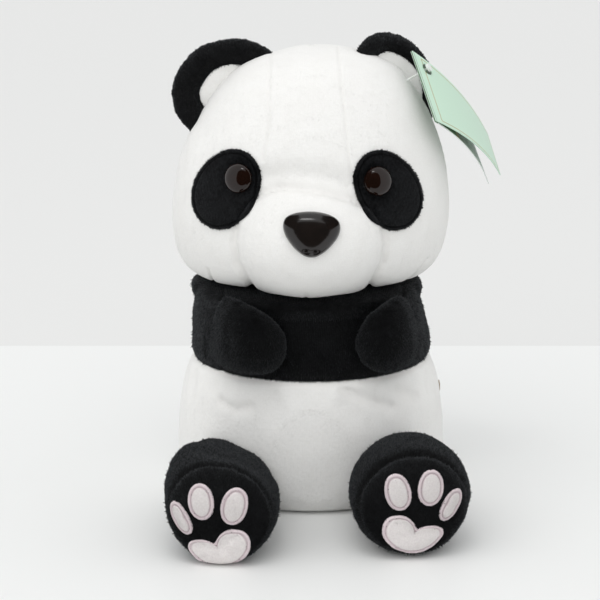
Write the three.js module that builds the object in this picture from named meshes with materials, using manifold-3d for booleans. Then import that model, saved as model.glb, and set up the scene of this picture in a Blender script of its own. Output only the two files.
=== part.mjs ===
// A seated plush panda with a big round head, built from its sewn panels, stuffing and fittings.
// Millimetres, +Z up. The face looks along -Y, and left and right are as seen from the front.
// The origin is on the floor under the middle of the body.
import * as THREE from 'three';
import { mergeVertices } from 'three/addons/utils/BufferGeometryUtils.js';
import Module from 'manifold-3d';

const wasm = await Module();
wasm.setup();

// Cloth, gaps and the run of a cut past what it cuts
const gap = 0.3;
const clothWall = 3;
const appliqueWall = 1.2;
const cutRun = 12;
const reach = 600;

// Body: a stuffed barrel, white below and black at the chest
const bodyHeight = 119.5;
const bodyHalfWidth = 75.8;
const bodyDepthShare = 0.97;
const bandHeight = 75.5;
const bodyProfileShares = [
  [0.88, 0], [0.95, 0.05], [0.995, 0.17], [1, 0.3], [0.965, 0.47], [0.925, 0.6],
  [0.895, 0.74], [0.855, 0.88], [0.805, 1],
];
const baseWall = 3;

// Head: wider than deep, full in the cheeks
const neckHeight = bodyHeight + gap;
const headHeight = 132.2;
const headHalfWidth = 79.5;
const headDepthShare = 0.885;
const headProfileShares = [
  [0.775, 0], [0.865, 0.03], [0.935, 0.08], [0.985, 0.17], [1, 0.29], [0.98, 0.425], [0.937, 0.545],
  [0.87, 0.66], [0.788, 0.757], [0.69, 0.848], [0.53, 0.932], [0.33, 0.981], [0, 1],
];
const foreheadLeft = 23;
const foreheadRight = 22;
const coronalSeam = 4;

// Muzzle: a low bulge whose seam runs over the nose and down to the neck
const muzzleHalfWidth = 39.6;
const muzzleHalfHeight = 33.5;
const muzzleBulge = 32;
const muzzleRiseShare = 0.2436;
const muzzleDepthShare = 0.739;
const muzzleMiddleHeight = neckHeight + headHeight * muzzleRiseShare;
const muzzleMiddleDepth = headHalfWidth * headDepthShare * muzzleDepthShare;
const muzzleSeamShares = [
  [-0.78, -1.2], [-0.82, -0.75], [-0.96, -0.3], [-0.98, 0.05], [-0.87, 0.45], [-0.55, 0.8], [-0.25, 0.92],
  [0.15, 0.86], [0.55, 0.72], [0.86, 0.4], [0.96, 0.05], [0.94, -0.3], [0.82, -0.75], [0.78, -1.2],
];

// Nose: a domed rounded triangle of hard plastic on a shank
const noseWidth = 30.5;
const noseHeight = 24;
const noseDome = 6;
const noseRoll = 4;
const noseAboveMuzzleMiddle = 9.5;
const noseTilt = THREE.MathUtils.degToRad(16);
const noseSideShare = 0.5;
const noseShankRadius = 2.5;
const noseShankLength = 15;
const noseWasherRadius = 8;

// Eyes: domes on shanks, set through the patches and held by washers inside
const eyeRadius = 8;
const eyeDome = 5.2;
const eyeTilt = THREE.MathUtils.degToRad(9);
const eyeShankRadius = 2;
const eyeShankLength = 13;
const eyeWasherRadius = 7;
const washerThickness = 1.6;

// Eye patches: leaning egg shapes of black short pile
const patchHalfWidth = 16.7;
const patchHalfHeight = 23.9;
const patchLean = THREE.MathUtils.degToRad(33.5);
const patchTaperShare = 0.02;

// Ears: padded black discs with a white cup in front
const earRadius = 33;
const earHalfThickness = 7;
const earDepth = 5;
const earFrontShare = 0.85;
const earCupDepth = 4.5;
const earInnerWall = 2;
const earInnerRimShare = 0.9;
const earBackShares = [[0, 1], [0.55, 1], [0.85, 0.7], [1, 0], [0.93, -0.68]];
const earAcrossShare = 0.535;
const earRiseShare = 0.792;
const earCentreAcross = headHalfWidth * earAcrossShare;
const earCentreHeight = neckHeight + headHeight * earRiseShare;

// Arms: short stuffed flaps sewn in at the chest's two side seams
const armHalfHeight = 19.5;
const armHalfThickness = 11.5;
const armAboveBand = 21.5;
const armMiddleHeight = bandHeight + armAboveBand;
const chestLean = THREE.MathUtils.degToRad(12.5);
const armStationShares = [
  [0, 0.93, 0.42, 0.13], [0.12, 0.98, 0.55, 0.13], [0.35, 1, 0.86, 0.09], [0.6, 0.93, 1, 0.02],
  [0.8, 0.8, 0.88, -0.05], [0.93, 0.57, 0.6, -0.1], [1, 0.25, 0.25, -0.13],
];

// Legs: full at the foot, slim at the root and bowed outwards, on the floor with the soles facing forward
const legHeightShare = 0.92;
const legSplay = THREE.MathUtils.degToRad(8.3);
const legRootDrop = 11;
const legBowPower = 1.3;
const legProfileShares = [
  [0, 0], [0.5, 0.007], [0.82, 0.03], [0.93, 0.056], [0.985, 0.1], [1, 0.15], [1, 0.28], [0.95, 0.4],
  [0.84, 0.53], [0.72, 0.68], [0.64, 0.84], [0.6, 1],
];
const soleRadiusShare = 0.9;
const soleSeamDepth = 10;
const flatCut = 0.5;
const padRoll = THREE.MathUtils.degToRad(22);
const padDepth = 9;

// Pads on each sole, from the middle of the sole outwards and up, before the roll
const toePads = [
  { name: 'outer', outward: 16.8, up: 5.9, halfWidth: 4.6, halfHeight: 9.2, lean: 8 },
  { name: 'middle', outward: 3.1, up: 11.1, halfWidth: 6.9, halfHeight: 9.4, lean: -15 },
  { name: 'inner', outward: -12.2, up: 3.2, halfWidth: 6.8, halfHeight: 9.8, lean: -34 },
];
const heartPad = { outward: 3.4, up: -16.75, halfWidth: 16.2, height: 19.5 };
const heartOutlineShares = [
  [-0.09, 0.77], [0.15, 0.91], [0.43, 0.98], [0.7, 0.93], [0.93, 0.8], [1, 0.61], [0.95, 0.41],
  [0.81, 0.23], [0.55, 0.09], [0.21, 0.01], [-0.16, 0.03], [-0.5, 0.16], [-0.75, 0.35], [-0.91, 0.57],
  [-1, 0.82], [-0.9, 0.97], [-0.68, 1], [-0.44, 0.95], [-0.26, 0.87],
];

// Hang tag: a folded card, bowed along its length, on a plastic fastener that pierces the head in front
// of the right ear. The cover's hole is wide enough to pass over the fastener's button.
const cardThickness = 0.5;
const tagFromEar = new THREE.Vector3(13.5, -15, 25.5);
const tagFoldTop = new THREE.Vector3(earCentreAcross, earDepth, earCentreHeight).add(tagFromEar);
const tagFold = new THREE.Vector3(11.8, -32, -34);
const frontLeafTop = new THREE.Vector3(46, 36, -53);
const frontLeafLow = new THREE.Vector3(39.5, 40, -37.6);
const backLeafTop = new THREE.Vector3(39, 41, -59);
const backLeafLow = new THREE.Vector3(34, 44, -43);
const leafBow = 9;
const filamentPlay = 0.35;
const coverHoleRadius = 3.6;
const coverHoleShift = 0.6;
const tagPinAlongShare = 0.1;
const tagPinDownShare = 0.16;
const filamentRadius = 0.6;
const filamentHold = 5;
const buttonRadius = 2.4;
const buttonThickness = 1.4;
const buttonStandOff = 2.5;

// Side tab: the folded ribbon end in the right side seam
const tabHeight = 51;
const tabWidth = 4;
const tabLength = 8;
const tabThickness = 0.8;

// What differs between the two sides of this toy
const leftSide = {
  name: 'left', sign: -1, eyeAcross: 38.9, eyeRiseShare: 0.5083, patchOutward: 7.3, patchDrop: 7.1,
  earTurn: THREE.MathUtils.degToRad(6), earInnerRadius: 20.5, armRoot: 49, armLength: 41,
  legRadius: 30.5, legLength: 126, legOutward: 15, soleAcross: 50.3, legRootReach: 26, padDrop: 1.6,
};
const rightSide = {
  name: 'right', sign: 1, eyeAcross: 35.1, eyeRiseShare: 0.5, patchOutward: 6.15, patchDrop: 5.8,
  earTurn: THREE.MathUtils.degToRad(26), earInnerRadius: 24, armRoot: 51.2, armLength: 33.5,
  legRadius: 31.6, legLength: 115, legOutward: 10, soleAcross: 54.6, legRootReach: 27, padDrop: -1.6,
};

// How finely round things are cut up
const bodySides = 32;
const limbSides = 20;
const smallSides = 16;
const bodySteps = 9;
const headSteps = 13;
const legSteps = 10;
const cardSteps = 6;
const noseRollSteps = 3;
const noseCurveSteps = 4;
const weld = 1e-4;

const whitePlush = new THREE.MeshStandardMaterial({ color: 0xf1f0ee, roughness: 0.95 });
const blackPlush = new THREE.MeshStandardMaterial({ color: 0x0e0f11, roughness: 0.9 });
const padPlush = new THREE.MeshStandardMaterial({ color: 0xe6dde0, roughness: 0.9 });
const stuffingFibre = new THREE.MeshStandardMaterial({ color: 0xf4f3ee, roughness: 1 });
const eyePlastic = new THREE.MeshStandardMaterial({ color: 0x120c0a, roughness: 0.08 });
const washerPlastic = new THREE.MeshStandardMaterial({ color: 0xd8d8d4, roughness: 0.5 });
const mintCard = new THREE.MeshStandardMaterial({ color: 0xcfe8d6, roughness: 0.45 });
const clearNylon = new THREE.MeshStandardMaterial({ color: 0xe8ebe8, roughness: 0.3 });
const ribbon = new THREE.MeshStandardMaterial({ color: 0xb9ada0, roughness: 0.9 });

const panda = new THREE.Group();

// Turns a closed geometry into a solid, with its shared corners welded and its empty faces left out.
function solid(geometry, place = new THREE.Matrix4()) {
  const bare = new THREE.BufferGeometry();
  bare.setAttribute('position', geometry.getAttribute('position').clone());
  bare.setIndex(geometry.index);
  bare.applyMatrix4(place);
  const welded = mergeVertices(bare, weld);
  const corners = welded.index.array;
  const kept = [];
  for (let first = 0; first < corners.length; first += 3) {
    const [a, b, c] = corners.slice(first, first + 3);
    if (a !== b && b !== c && c !== a) kept.push(a, b, c);
  }
  const vertProperties = new Float32Array(welded.getAttribute('position').array);
  return new wasm.Manifold(new wasm.Mesh({ numProp: 3, vertProperties, triVerts: new Uint32Array(kept) }));
}

function addPiece(parent, name, shape, material) {
  const { vertProperties, triVerts } = shape.getMesh();
  const geometry = new THREE.BufferGeometry();
  geometry.setAttribute('position', new THREE.BufferAttribute(new Float32Array(vertProperties), 3));
  geometry.setIndex(new THREE.BufferAttribute(new Uint32Array(triVerts), 1));
  geometry.computeVertexNormals();
  const mesh = new THREE.Mesh(geometry, material);
  mesh.name = name;
  parent.add(mesh);
}

// A group inside the toy, with its matrix ready to carry larger pieces into its own frame.
function addGroup(x, y, z, turn = 0, tilt = 0) {
  const group = new THREE.Group();
  group.position.set(x, y, z);
  group.rotation.set(tilt, 0, turn, 'ZXY');
  group.updateMatrix();
  panda.add(group);
  return group;
}

function into(group) {
  return group.matrix.clone().invert();
}

function block(lowX, highX, lowY, highY, lowZ, highZ, place) {
  const box = new THREE.BoxGeometry(highX - lowX, highY - lowY, highZ - lowZ);
  box.translate((lowX + highX) / 2, (lowY + highY) / 2, (lowZ + highZ) / 2);
  return solid(box, place);
}

// Profile points at even steps along a smooth curve, set in from it by the same distance all along.
function steppedProfile(shares, width, height, steps, inset) {
  const curve = new THREE.SplineCurve(shares.map(([out, up]) => new THREE.Vector2(out * width, up * height)));
  const points = [];
  for (let step = 0; step <= steps; step += 1) {
    const point = curve.getPointAt(step / steps);
    const along = curve.getTangentAt(step / steps);
    points.push(new THREE.Vector2(Math.max(0, point.x - inset * along.y), point.y + inset * along.x));
  }
  return points;
}

function turned(points, sides) {
  return new THREE.LatheGeometry(points, sides);
}

// Upright stuffed forms: the profile is turned about the height and made less deep than wide.
function uprightForm(points, sides, depthShare, baseHeight, place) {
  const geometry = turned(points, sides);
  geometry.rotateX(Math.PI / 2);
  geometry.scale(1, depthShare, 1);
  geometry.translate(0, 0, baseHeight);
  return solid(geometry, place);
}

function bodyForm(inset, sides = bodySides, place = undefined) {
  const side = steppedProfile(bodyProfileShares, bodyHalfWidth, bodyHeight, bodySteps, inset);
  const lowest = side[0];
  const highest = side[side.length - 1];
  const points = [
    new THREE.Vector2(0, -cutRun),
    new THREE.Vector2(lowest.x, -cutRun),
    ...side,
    new THREE.Vector2(highest.x, bodyHeight + cutRun),
    new THREE.Vector2(0, bodyHeight + cutRun),
  ];
  return uprightForm(points, sides, bodyDepthShare, 0, place);
}

function headForm(inset, sides = bodySides, place = undefined) {
  const side = steppedProfile(headProfileShares, headHalfWidth, headHeight, headSteps, inset);
  side[side.length - 1].x = 0;
  const points = [new THREE.Vector2(0, -cutRun), new THREE.Vector2(side[0].x, -cutRun), ...side];
  const dome = uprightForm(points, sides, headDepthShare, neckHeight, place);
  const muzzle = new THREE.SphereGeometry(1, sides, sides / 2);
  muzzle.scale(muzzleHalfWidth - inset, muzzleBulge - inset, muzzleHalfHeight - inset);
  muzzle.translate(0, -muzzleMiddleDepth, muzzleMiddleHeight);
  return dome.add(solid(muzzle, place));
}

function smoothOutline(points) {
  return new THREE.Shape(new THREE.CatmullRomCurve3(points, true).getPoints(points.length * 2).slice(0, -1)
    .map((point) => new THREE.Vector2(point.x, point.y)));
}

// A prism that stands on the front view's plane and runs in depth from nearY to farY.
function frontPrism(shape, nearY, farY, place) {
  const geometry = new THREE.ExtrudeGeometry(shape, { depth: farY - nearY, bevelEnabled: false });
  geometry.rotateX(Math.PI / 2);
  geometry.translate(0, farY, 0);
  return solid(geometry, place);
}

// A round bar along the local depth direction.
function bar(radius, nearY, farY, place) {
  const cylinder = new THREE.CylinderGeometry(radius, radius, farY - nearY, smallSides);
  cylinder.translate(0, (nearY + farY) / 2, 0);
  return solid(cylinder, place);
}

// A closed skin over rings of points, each end closed to its middle.
function skinOver(rings) {
  const count = rings[0].length;
  const middles = [rings[0], rings[rings.length - 1]].map((ring) => ring
    .reduce((sum, point) => sum.clone().add(point), new THREE.Vector3()).divideScalar(count));
  const positions = [...rings.flat(), ...middles].flatMap((point) => [point.x, point.y, point.z]);
  const corners = [];
  const firstMiddle = rings.length * count;
  for (let at = 0; at < count; at += 1) {
    const next = (at + 1) % count;
    for (let ring = 0; ring < rings.length - 1; ring += 1) {
      const here = ring * count;
      const there = here + count;
      corners.push(here + at, there + at, here + next, here + next, there + at, there + next);
    }
    const last = (rings.length - 1) * count;
    corners.push(firstMiddle, at, next, firstMiddle + 1, last + next, last + at);
  }
  const geometry = new THREE.BufferGeometry();
  geometry.setAttribute('position', new THREE.BufferAttribute(new Float32Array(positions), 3));
  geometry.setIndex(corners);
  return geometry;
}

function bodyHalfWidthAt(height) {
  const slice = bodyForm(0).intersect(block(-reach, reach, -reach, reach, height, height + gap));
  return slice.boundingBox().max[0];
}

// Half-width of the head's drawn profile at a height, and the face's depth and turn at a place on it.
function headHalfWidthAt(height) {
  const side = steppedProfile(headProfileShares, headHalfWidth, headHeight, headSteps, 0);
  const above = side.findIndex((point) => point.y + neckHeight >= height);
  const low = side[above - 1];
  const high = side[above];
  const share = (height - neckHeight - low.y) / (high.y - low.y);
  return low.x + share * (high.x - low.x);
}

function facePlace(across, height) {
  const halfWidth = headHalfWidthAt(height);
  const depth = headDepthShare * Math.sqrt(halfWidth ** 2 - across ** 2);
  const turn = Math.atan2(across, depth / headDepthShare ** 2);
  return { depth, turn };
}

// Eye and nose hardware: a shank through the cloth and a washer inside.
function shankCut(group, radius, length) {
  return bar(radius, -cutRun, length, group.matrix);
}

function washer(group, shankRadius, outerRadius, near) {
  const inward = into(group);
  const disc = bar(outerRadius, near, near + clothWall + washerThickness);
  const hole = bar(shankRadius + gap, near - cutRun, near + cutRun * 2);
  const inside = headForm(clothWall + gap, bodySides / 2, inward);
  return disc.subtract(hole).intersect(inside);
}

// Head shell and stuffing, before their panels are parted
const aboveNeck = block(-reach, reach, -reach, reach, neckHeight, reach);
const headOuter = headForm(0);
const headInner = headForm(clothWall, bodySides / 2);
let headShell = headOuter.intersect(aboveNeck).subtract(headInner);
let headStuffing = headForm(clothWall + gap, bodySides / 2).intersect(aboveNeck);

// Eyes
for (const side of [leftSide, rightSide]) {
  const across = side.sign * side.eyeAcross;
  const height = neckHeight + headHeight * side.eyeRiseShare;
  const face = facePlace(across, height);
  const group = addGroup(across, -face.depth, height, face.turn, -eyeTilt);
  const seat = 2 * gap + appliqueWall;
  const rimPoints = [];
  for (let step = 0; step <= smallSides / 4; step += 1) {
    const angle = (step / (smallSides / 4)) * (Math.PI / 2);
    rimPoints.push(new THREE.Vector2(eyeRadius * Math.sin(angle), -seat - eyeDome * Math.cos(angle)));
  }
  rimPoints[0].x = 0;
  const domePoints = [...rimPoints, new THREE.Vector2(eyeRadius, cutRun), new THREE.Vector2(0, cutRun)];
  const dome = solid(turned(domePoints, limbSides)).subtract(headForm(-seat, bodySides, into(group)));
  const shank = bar(eyeShankRadius, -seat - eyeDome / 2, eyeShankLength);
  addPiece(group, `eye_${side.name}`, dome.add(shank), eyePlastic);
  addPiece(group, `eye_washer_${side.name}`, washer(group, eyeShankRadius, eyeWasherRadius, clothWall / 2),
    washerPlastic);

  const hole = shankCut(group, eyeShankRadius + gap, eyeShankLength + gap);
  headShell = headShell.subtract(hole);
  headStuffing = headStuffing.subtract(bar(eyeWasherRadius + gap, 0, eyeShankLength + gap, group.matrix));

  const outline = [];
  for (let step = 0; step < smallSides; step += 1) {
    const angle = (step / smallSides) * Math.PI * 2;
    const out = patchHalfWidth * Math.cos(angle) * (1 - patchTaperShare * Math.sin(angle));
    const up = patchHalfHeight * Math.sin(angle);
    const lean = side.sign * patchLean;
    outline.push(new THREE.Vector2(
      across + side.sign * side.patchOutward + out * Math.cos(lean) - up * Math.sin(lean),
      height - side.patchDrop + out * Math.sin(lean) + up * Math.cos(lean),
    ));
  }
  const zone = frontPrism(new THREE.Shape(outline), -reach, -cutRun);
  const patch = headForm(-gap - appliqueWall).subtract(headForm(-gap)).intersect(zone).subtract(hole);
  addPiece(panda, `eye_patch_${side.name}`, patch, blackPlush);
}

// Nose
{
  const rise = noseAboveMuzzleMiddle / muzzleHalfHeight;
  const depth = muzzleMiddleDepth + muzzleBulge * Math.sqrt(1 - rise ** 2);
  const group = addGroup(0, -depth, muzzleMiddleHeight + noseAboveMuzzleMiddle, 0, -noseTilt);
  const halfWidth = noseWidth / 2 - noseRoll;
  const halfHeight = noseHeight / 2 - noseRoll;
  const outline = new THREE.Shape();
  outline.moveTo(-halfWidth, halfHeight * noseSideShare);
  outline.quadraticCurveTo(-halfWidth, halfHeight, 0, halfHeight);
  outline.quadraticCurveTo(halfWidth, halfHeight, halfWidth, halfHeight * noseSideShare);
  outline.quadraticCurveTo(halfWidth * noseSideShare, -halfHeight * noseSideShare, 0, -halfHeight);
  outline.quadraticCurveTo(-halfWidth * noseSideShare, -halfHeight * noseSideShare, -halfWidth,
    halfHeight * noseSideShare);
  const blockGeometry = new THREE.ExtrudeGeometry(outline, {
    depth: noseDome, bevelEnabled: true, bevelThickness: noseDome, bevelSize: noseRoll,
    bevelSegments: noseRollSteps, curveSegments: noseCurveSteps,
  });
  blockGeometry.rotateX(Math.PI / 2);
  blockGeometry.translate(0, noseDome, 0);
  const dome = solid(blockGeometry).subtract(headForm(-gap, bodySides, into(group)));
  addPiece(group, 'nose', dome.add(bar(noseShankRadius, -noseDome / 2, noseShankLength)), eyePlastic);
  addPiece(group, 'nose_washer', washer(group, noseShankRadius, noseWasherRadius, clothWall / 2),
    washerPlastic);
  headShell = headShell.subtract(shankCut(group, noseShankRadius + gap, noseShankLength + gap));
  headStuffing = headStuffing.subtract(bar(noseWasherRadius + gap, 0, noseShankLength + gap, group.matrix));
}

// Tag and its fastener
{
  const foldTop = new THREE.Vector3();
  const group = addGroup(tagFoldTop.x, tagFoldTop.y, tagFoldTop.z);
  const outward = tagFold.clone().cross(frontLeafTop).normalize();

  // A leaf is the ruled sheet between its bowed top and low edges, from the fold to the free edge.
  const leaf = (topRun, lowRun, setBack) => {
    const start = foldTop.clone().addScaledVector(outward, -setBack);
    const rings = [];
    for (let step = 0; step <= cardSteps; step += 1) {
      const share = step / cardSteps;
      const bow = leafBow * 2 * share * (1 - share);
      const top = start.clone().addScaledVector(topRun, share).addScaledVector(outward, bow);
      const low = start.clone().add(tagFold).addScaledVector(lowRun, share).addScaledVector(outward, bow);
      const under = outward.clone().multiplyScalar(-cardThickness);
      rings.push([top, top.clone().add(under), low.clone().add(under), low]);
    }
    return solid(skinOver(rings));
  };
  const frontLeaf = leaf(frontLeafTop, frontLeafLow, 0);
  const backLeaf = leaf(backLeafTop, backLeafLow, cardThickness + gap);

  // The fastener runs square to the leaves, from its button into the head.
  const pin = foldTop.clone().addScaledVector(frontLeafTop, tagPinAlongShare).addScaledVector(tagFold,
    tagPinDownShare);
  const square = new THREE.Quaternion().setFromUnitVectors(new THREE.Vector3(0, -1, 0), outward);
  const pinPlace = new THREE.Matrix4().compose(pin, square, new THREE.Vector3(1, 1, 1));
  const fromFold = outward.clone().cross(tagFold).normalize();
  const holeAt = (radius, shift) => {
    const centre = pin.clone().addScaledVector(fromFold, shift);
    const place = new THREE.Matrix4().compose(centre, square, new THREE.Vector3(1, 1, 1));
    return bar(radius, -cutRun, cutRun, place);
  };
  const coverHole = holeAt(coverHoleRadius, coverHoleShift);
  addPiece(group, 'tag_front_leaf', frontLeaf.subtract(coverHole), mintCard);
  addPiece(group, 'tag_back_leaf', backLeaf.subtract(holeAt(filamentRadius + filamentPlay, 0)), mintCard);
  const worldPinPlace = group.matrix.clone().multiply(pinPlace);
  const way = bar(filamentRadius, 0, reach).intersect(headForm(0, bodySides, worldPinPlace.clone().invert()));
  const filamentLength = way.boundingBox().min[1] + filamentHold;
  const filament = bar(filamentRadius, -buttonStandOff - buttonThickness / 2, filamentLength, pinPlace);
  const button = bar(buttonRadius, -buttonStandOff - buttonThickness, -buttonStandOff, pinPlace);
  addPiece(group, 'tag_fastener', filament.add(button), clearNylon);
  const pierced = bar(filamentRadius + gap, 0, filamentLength + gap, worldPinPlace);
  headShell = headShell.subtract(pierced);
  headStuffing = headStuffing.subtract(pierced);
}

// Head panels, parted along their seams
{
  const seam = muzzleSeamShares.map(([out, up]) => new THREE.Vector3(
    out * muzzleHalfWidth, muzzleMiddleHeight + up * muzzleHalfHeight, 0));
  const zone = frontPrism(smoothOutline(seam), -reach, -muzzleMiddleDepth / 2);
  const widened = seam.map((point) => new THREE.Vector3(
    point.x + gap * Math.sign(point.x), point.y + gap * Math.sign(point.y - muzzleMiddleHeight), 0));
  const clearZone = frontPrism(smoothOutline(widened), -reach, -muzzleMiddleDepth / 2 + gap);
  addPiece(panda, 'muzzle_panel', headShell.intersect(zone), whitePlush);
  const rest = headShell.subtract(clearZone);
  const half = gap / 2;
  const panels = {
    forehead_panel: [-foreheadLeft + half, foreheadRight - half, -reach, coronalSeam - half],
    cheek_panel_left: [-reach, -foreheadLeft - half, -reach, coronalSeam - half],
    cheek_panel_right: [foreheadRight + half, reach, -reach, coronalSeam - half],
    head_back_left: [-reach, -half, coronalSeam + half, reach],
    head_back_right: [half, reach, coronalSeam + half, reach],
  };
  for (const [name, [lowX, highX, lowY, highY]] of Object.entries(panels)) {
    addPiece(panda, name, rest.intersect(block(lowX, highX, lowY, highY, 0, reach)), whitePlush);
  }
  addPiece(panda, 'head_stuffing', headStuffing, stuffingFibre);
}

// Ears
function addEar(side) {
  const group = addGroup(side.sign * earCentreAcross, earDepth, earCentreHeight, side.earTurn);
  const head = headForm(-gap, bodySides, into(group));
  const rimFront = -earHalfThickness * earFrontShare;
  const floor = rimFront + earCupDepth;
  const inner = side.earInnerRadius;
  const backPoints = [
    ...earBackShares.map(([out, deep]) => [out * earRadius, deep * earHalfThickness]),
    [(earRadius + inner) / 2, rimFront], [inner, floor], [0, floor],
  ].map(([out, deep]) => new THREE.Vector2(out, deep));
  const innerRim = inner - gap;
  const innerFlat = innerRim * earInnerRimShare;
  const innerBack = floor - gap;
  const innerPoints = [
    [0, innerBack], [innerFlat, innerBack], [innerRim, innerBack - earInnerWall / 2],
    [innerFlat, innerBack - earInnerWall], [0, innerBack - earInnerWall],
  ].map(([out, deep]) => new THREE.Vector2(out, deep));
  const back = solid(turned(backPoints.reverse(), limbSides)).subtract(head);
  const front = solid(turned(innerPoints.reverse(), limbSides)).subtract(head);
  addPiece(group, `ear_back_${side.name}`, back, blackPlush);
  addPiece(group, `ear_inner_${side.name}`, front, whitePlush);
}

// Chest, belly and base
{
  const bodyBlock = block(-reach, reach, -reach, reach, 0, bodyHeight);
  const bodyShell = bodyForm(0).intersect(bodyBlock).subtract(bodyForm(clothWall, bodySides / 2));
  const half = gap / 2;
  const chest = bodyShell.intersect(block(-reach, reach, -reach, reach, bandHeight + half, bodyHeight));
  const belly = bodyShell.intersect(block(-reach, reach, -reach, reach, 0, bandHeight - half));
  const low = -leftSide.armRoot;
  const high = rightSide.armRoot;
  const chestFront = chest.intersect(block(low + half, high - half, -reach, 0, 0, reach));
  const chestBack = chest.subtract(block(low - half, high + half, -reach, 0, 0, reach));
  addPiece(panda, 'chest_front', chestFront, blackPlush);
  addPiece(panda, 'chest_back', chestBack, blackPlush);
  addPiece(panda, 'belly_front', belly.intersect(block(-reach, reach, -reach, -half, 0, reach)), whitePlush);
  addPiece(panda, 'belly_back', belly.intersect(block(-reach, reach, half, reach, 0, reach)), whitePlush);
  const base = bodyForm(clothWall + gap, bodySides / 2)
    .intersect(block(-reach, reach, -reach, reach, 0, baseWall));
  addPiece(panda, 'base_panel', base, whitePlush);
  const core = bodyForm(clothWall + gap, bodySides / 2)
    .intersect(block(-reach, reach, -reach, reach, baseWall + gap, bodyHeight));
  addPiece(panda, 'body_stuffing', core, stuffingFibre);
  const tabX = bodyHalfWidthAt(tabHeight) + gap;
  addPiece(panda, 'side_tab', block(tabX, tabX + tabThickness, 0, tabLength, tabHeight, tabHeight + tabWidth),
    ribbon);
}

// Arms: each bends round the chest from its root seam
function armForm(side, surfaceRadius, inset, opening = 0) {
  const rings = armStationShares.map(([along, tall, thick, lift], index) => {
    const end = index === armStationShares.length - 1 ? -inset : 0;
    const start = index === 0 ? -opening : 0;
    const run = gap + along * side.armLength + start + end;
    const halfHeight = Math.max(tall * armHalfHeight - inset, gap);
    const halfThickness = Math.max(thick * armHalfThickness - inset, gap);
    const angle = run / surfaceRadius;
    const middle = surfaceRadius + thick * armHalfThickness;
    const ring = [];
    for (let step = 0; step < smallSides; step += 1) {
      const around = (step / smallSides) * Math.PI * 2;
      const out = middle + halfThickness * Math.cos(around);
      const across = -side.sign * out * Math.sin(angle);
      const forward = surfaceRadius - out * Math.cos(angle);
      const rise = lift * armHalfHeight + halfHeight * Math.sin(around);
      ring.push(new THREE.Vector3(across, forward, rise));
    }
    return side.sign < 0 ? ring : ring.reverse();
  });
  return solid(skinOver(rings));
}

for (const side of [leftSide, rightSide]) {
  const widest = bodyHalfWidthAt(armMiddleHeight);
  const across = side.sign * side.armRoot;
  const depth = bodyDepthShare * Math.sqrt(widest ** 2 - side.armRoot ** 2);
  const turn = Math.atan2(across, depth / bodyDepthShare ** 2);
  const group = addGroup(across, -depth, armMiddleHeight, turn, -chestLean);
  const chest = bodyForm(-gap, bodySides, into(group));
  const head = headForm(-gap, bodySides, into(group));
  const outer = armForm(side, widest, 0);
  const inner = armForm(side, widest, clothWall, clothWall);
  const skin = outer.subtract(inner).subtract(chest).subtract(head);
  addPiece(group, `arm_skin_${side.name}`, skin, blackPlush);
  const stuffing = armForm(side, widest, clothWall + gap).subtract(chest).subtract(head);
  addPiece(group, `arm_stuffing_${side.name}`, stuffing, stuffingFibre);
}

// Legs
function legForm(side, inset, sides = limbSides) {
  const profile = steppedProfile(legProfileShares, side.legRadius, side.legLength, legSteps, inset);
  profile[0].x = 0;
  const last = profile[profile.length - 1];
  const geometry = turned([...profile, new THREE.Vector2(0, last.y)], sides);
  geometry.scale(1, 1, legHeightShare);
  const places = geometry.getAttribute('position');
  for (let at = 0; at < places.count; at += 1) {
    const run = Math.max(places.getY(at) / side.legLength, 0);
    places.setX(at, places.getX(at) + side.sign * side.legOutward * run ** legBowPower);
    places.setZ(at, places.getZ(at) - legRootDrop * run ** 2);
  }
  return solid(geometry);
}

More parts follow.
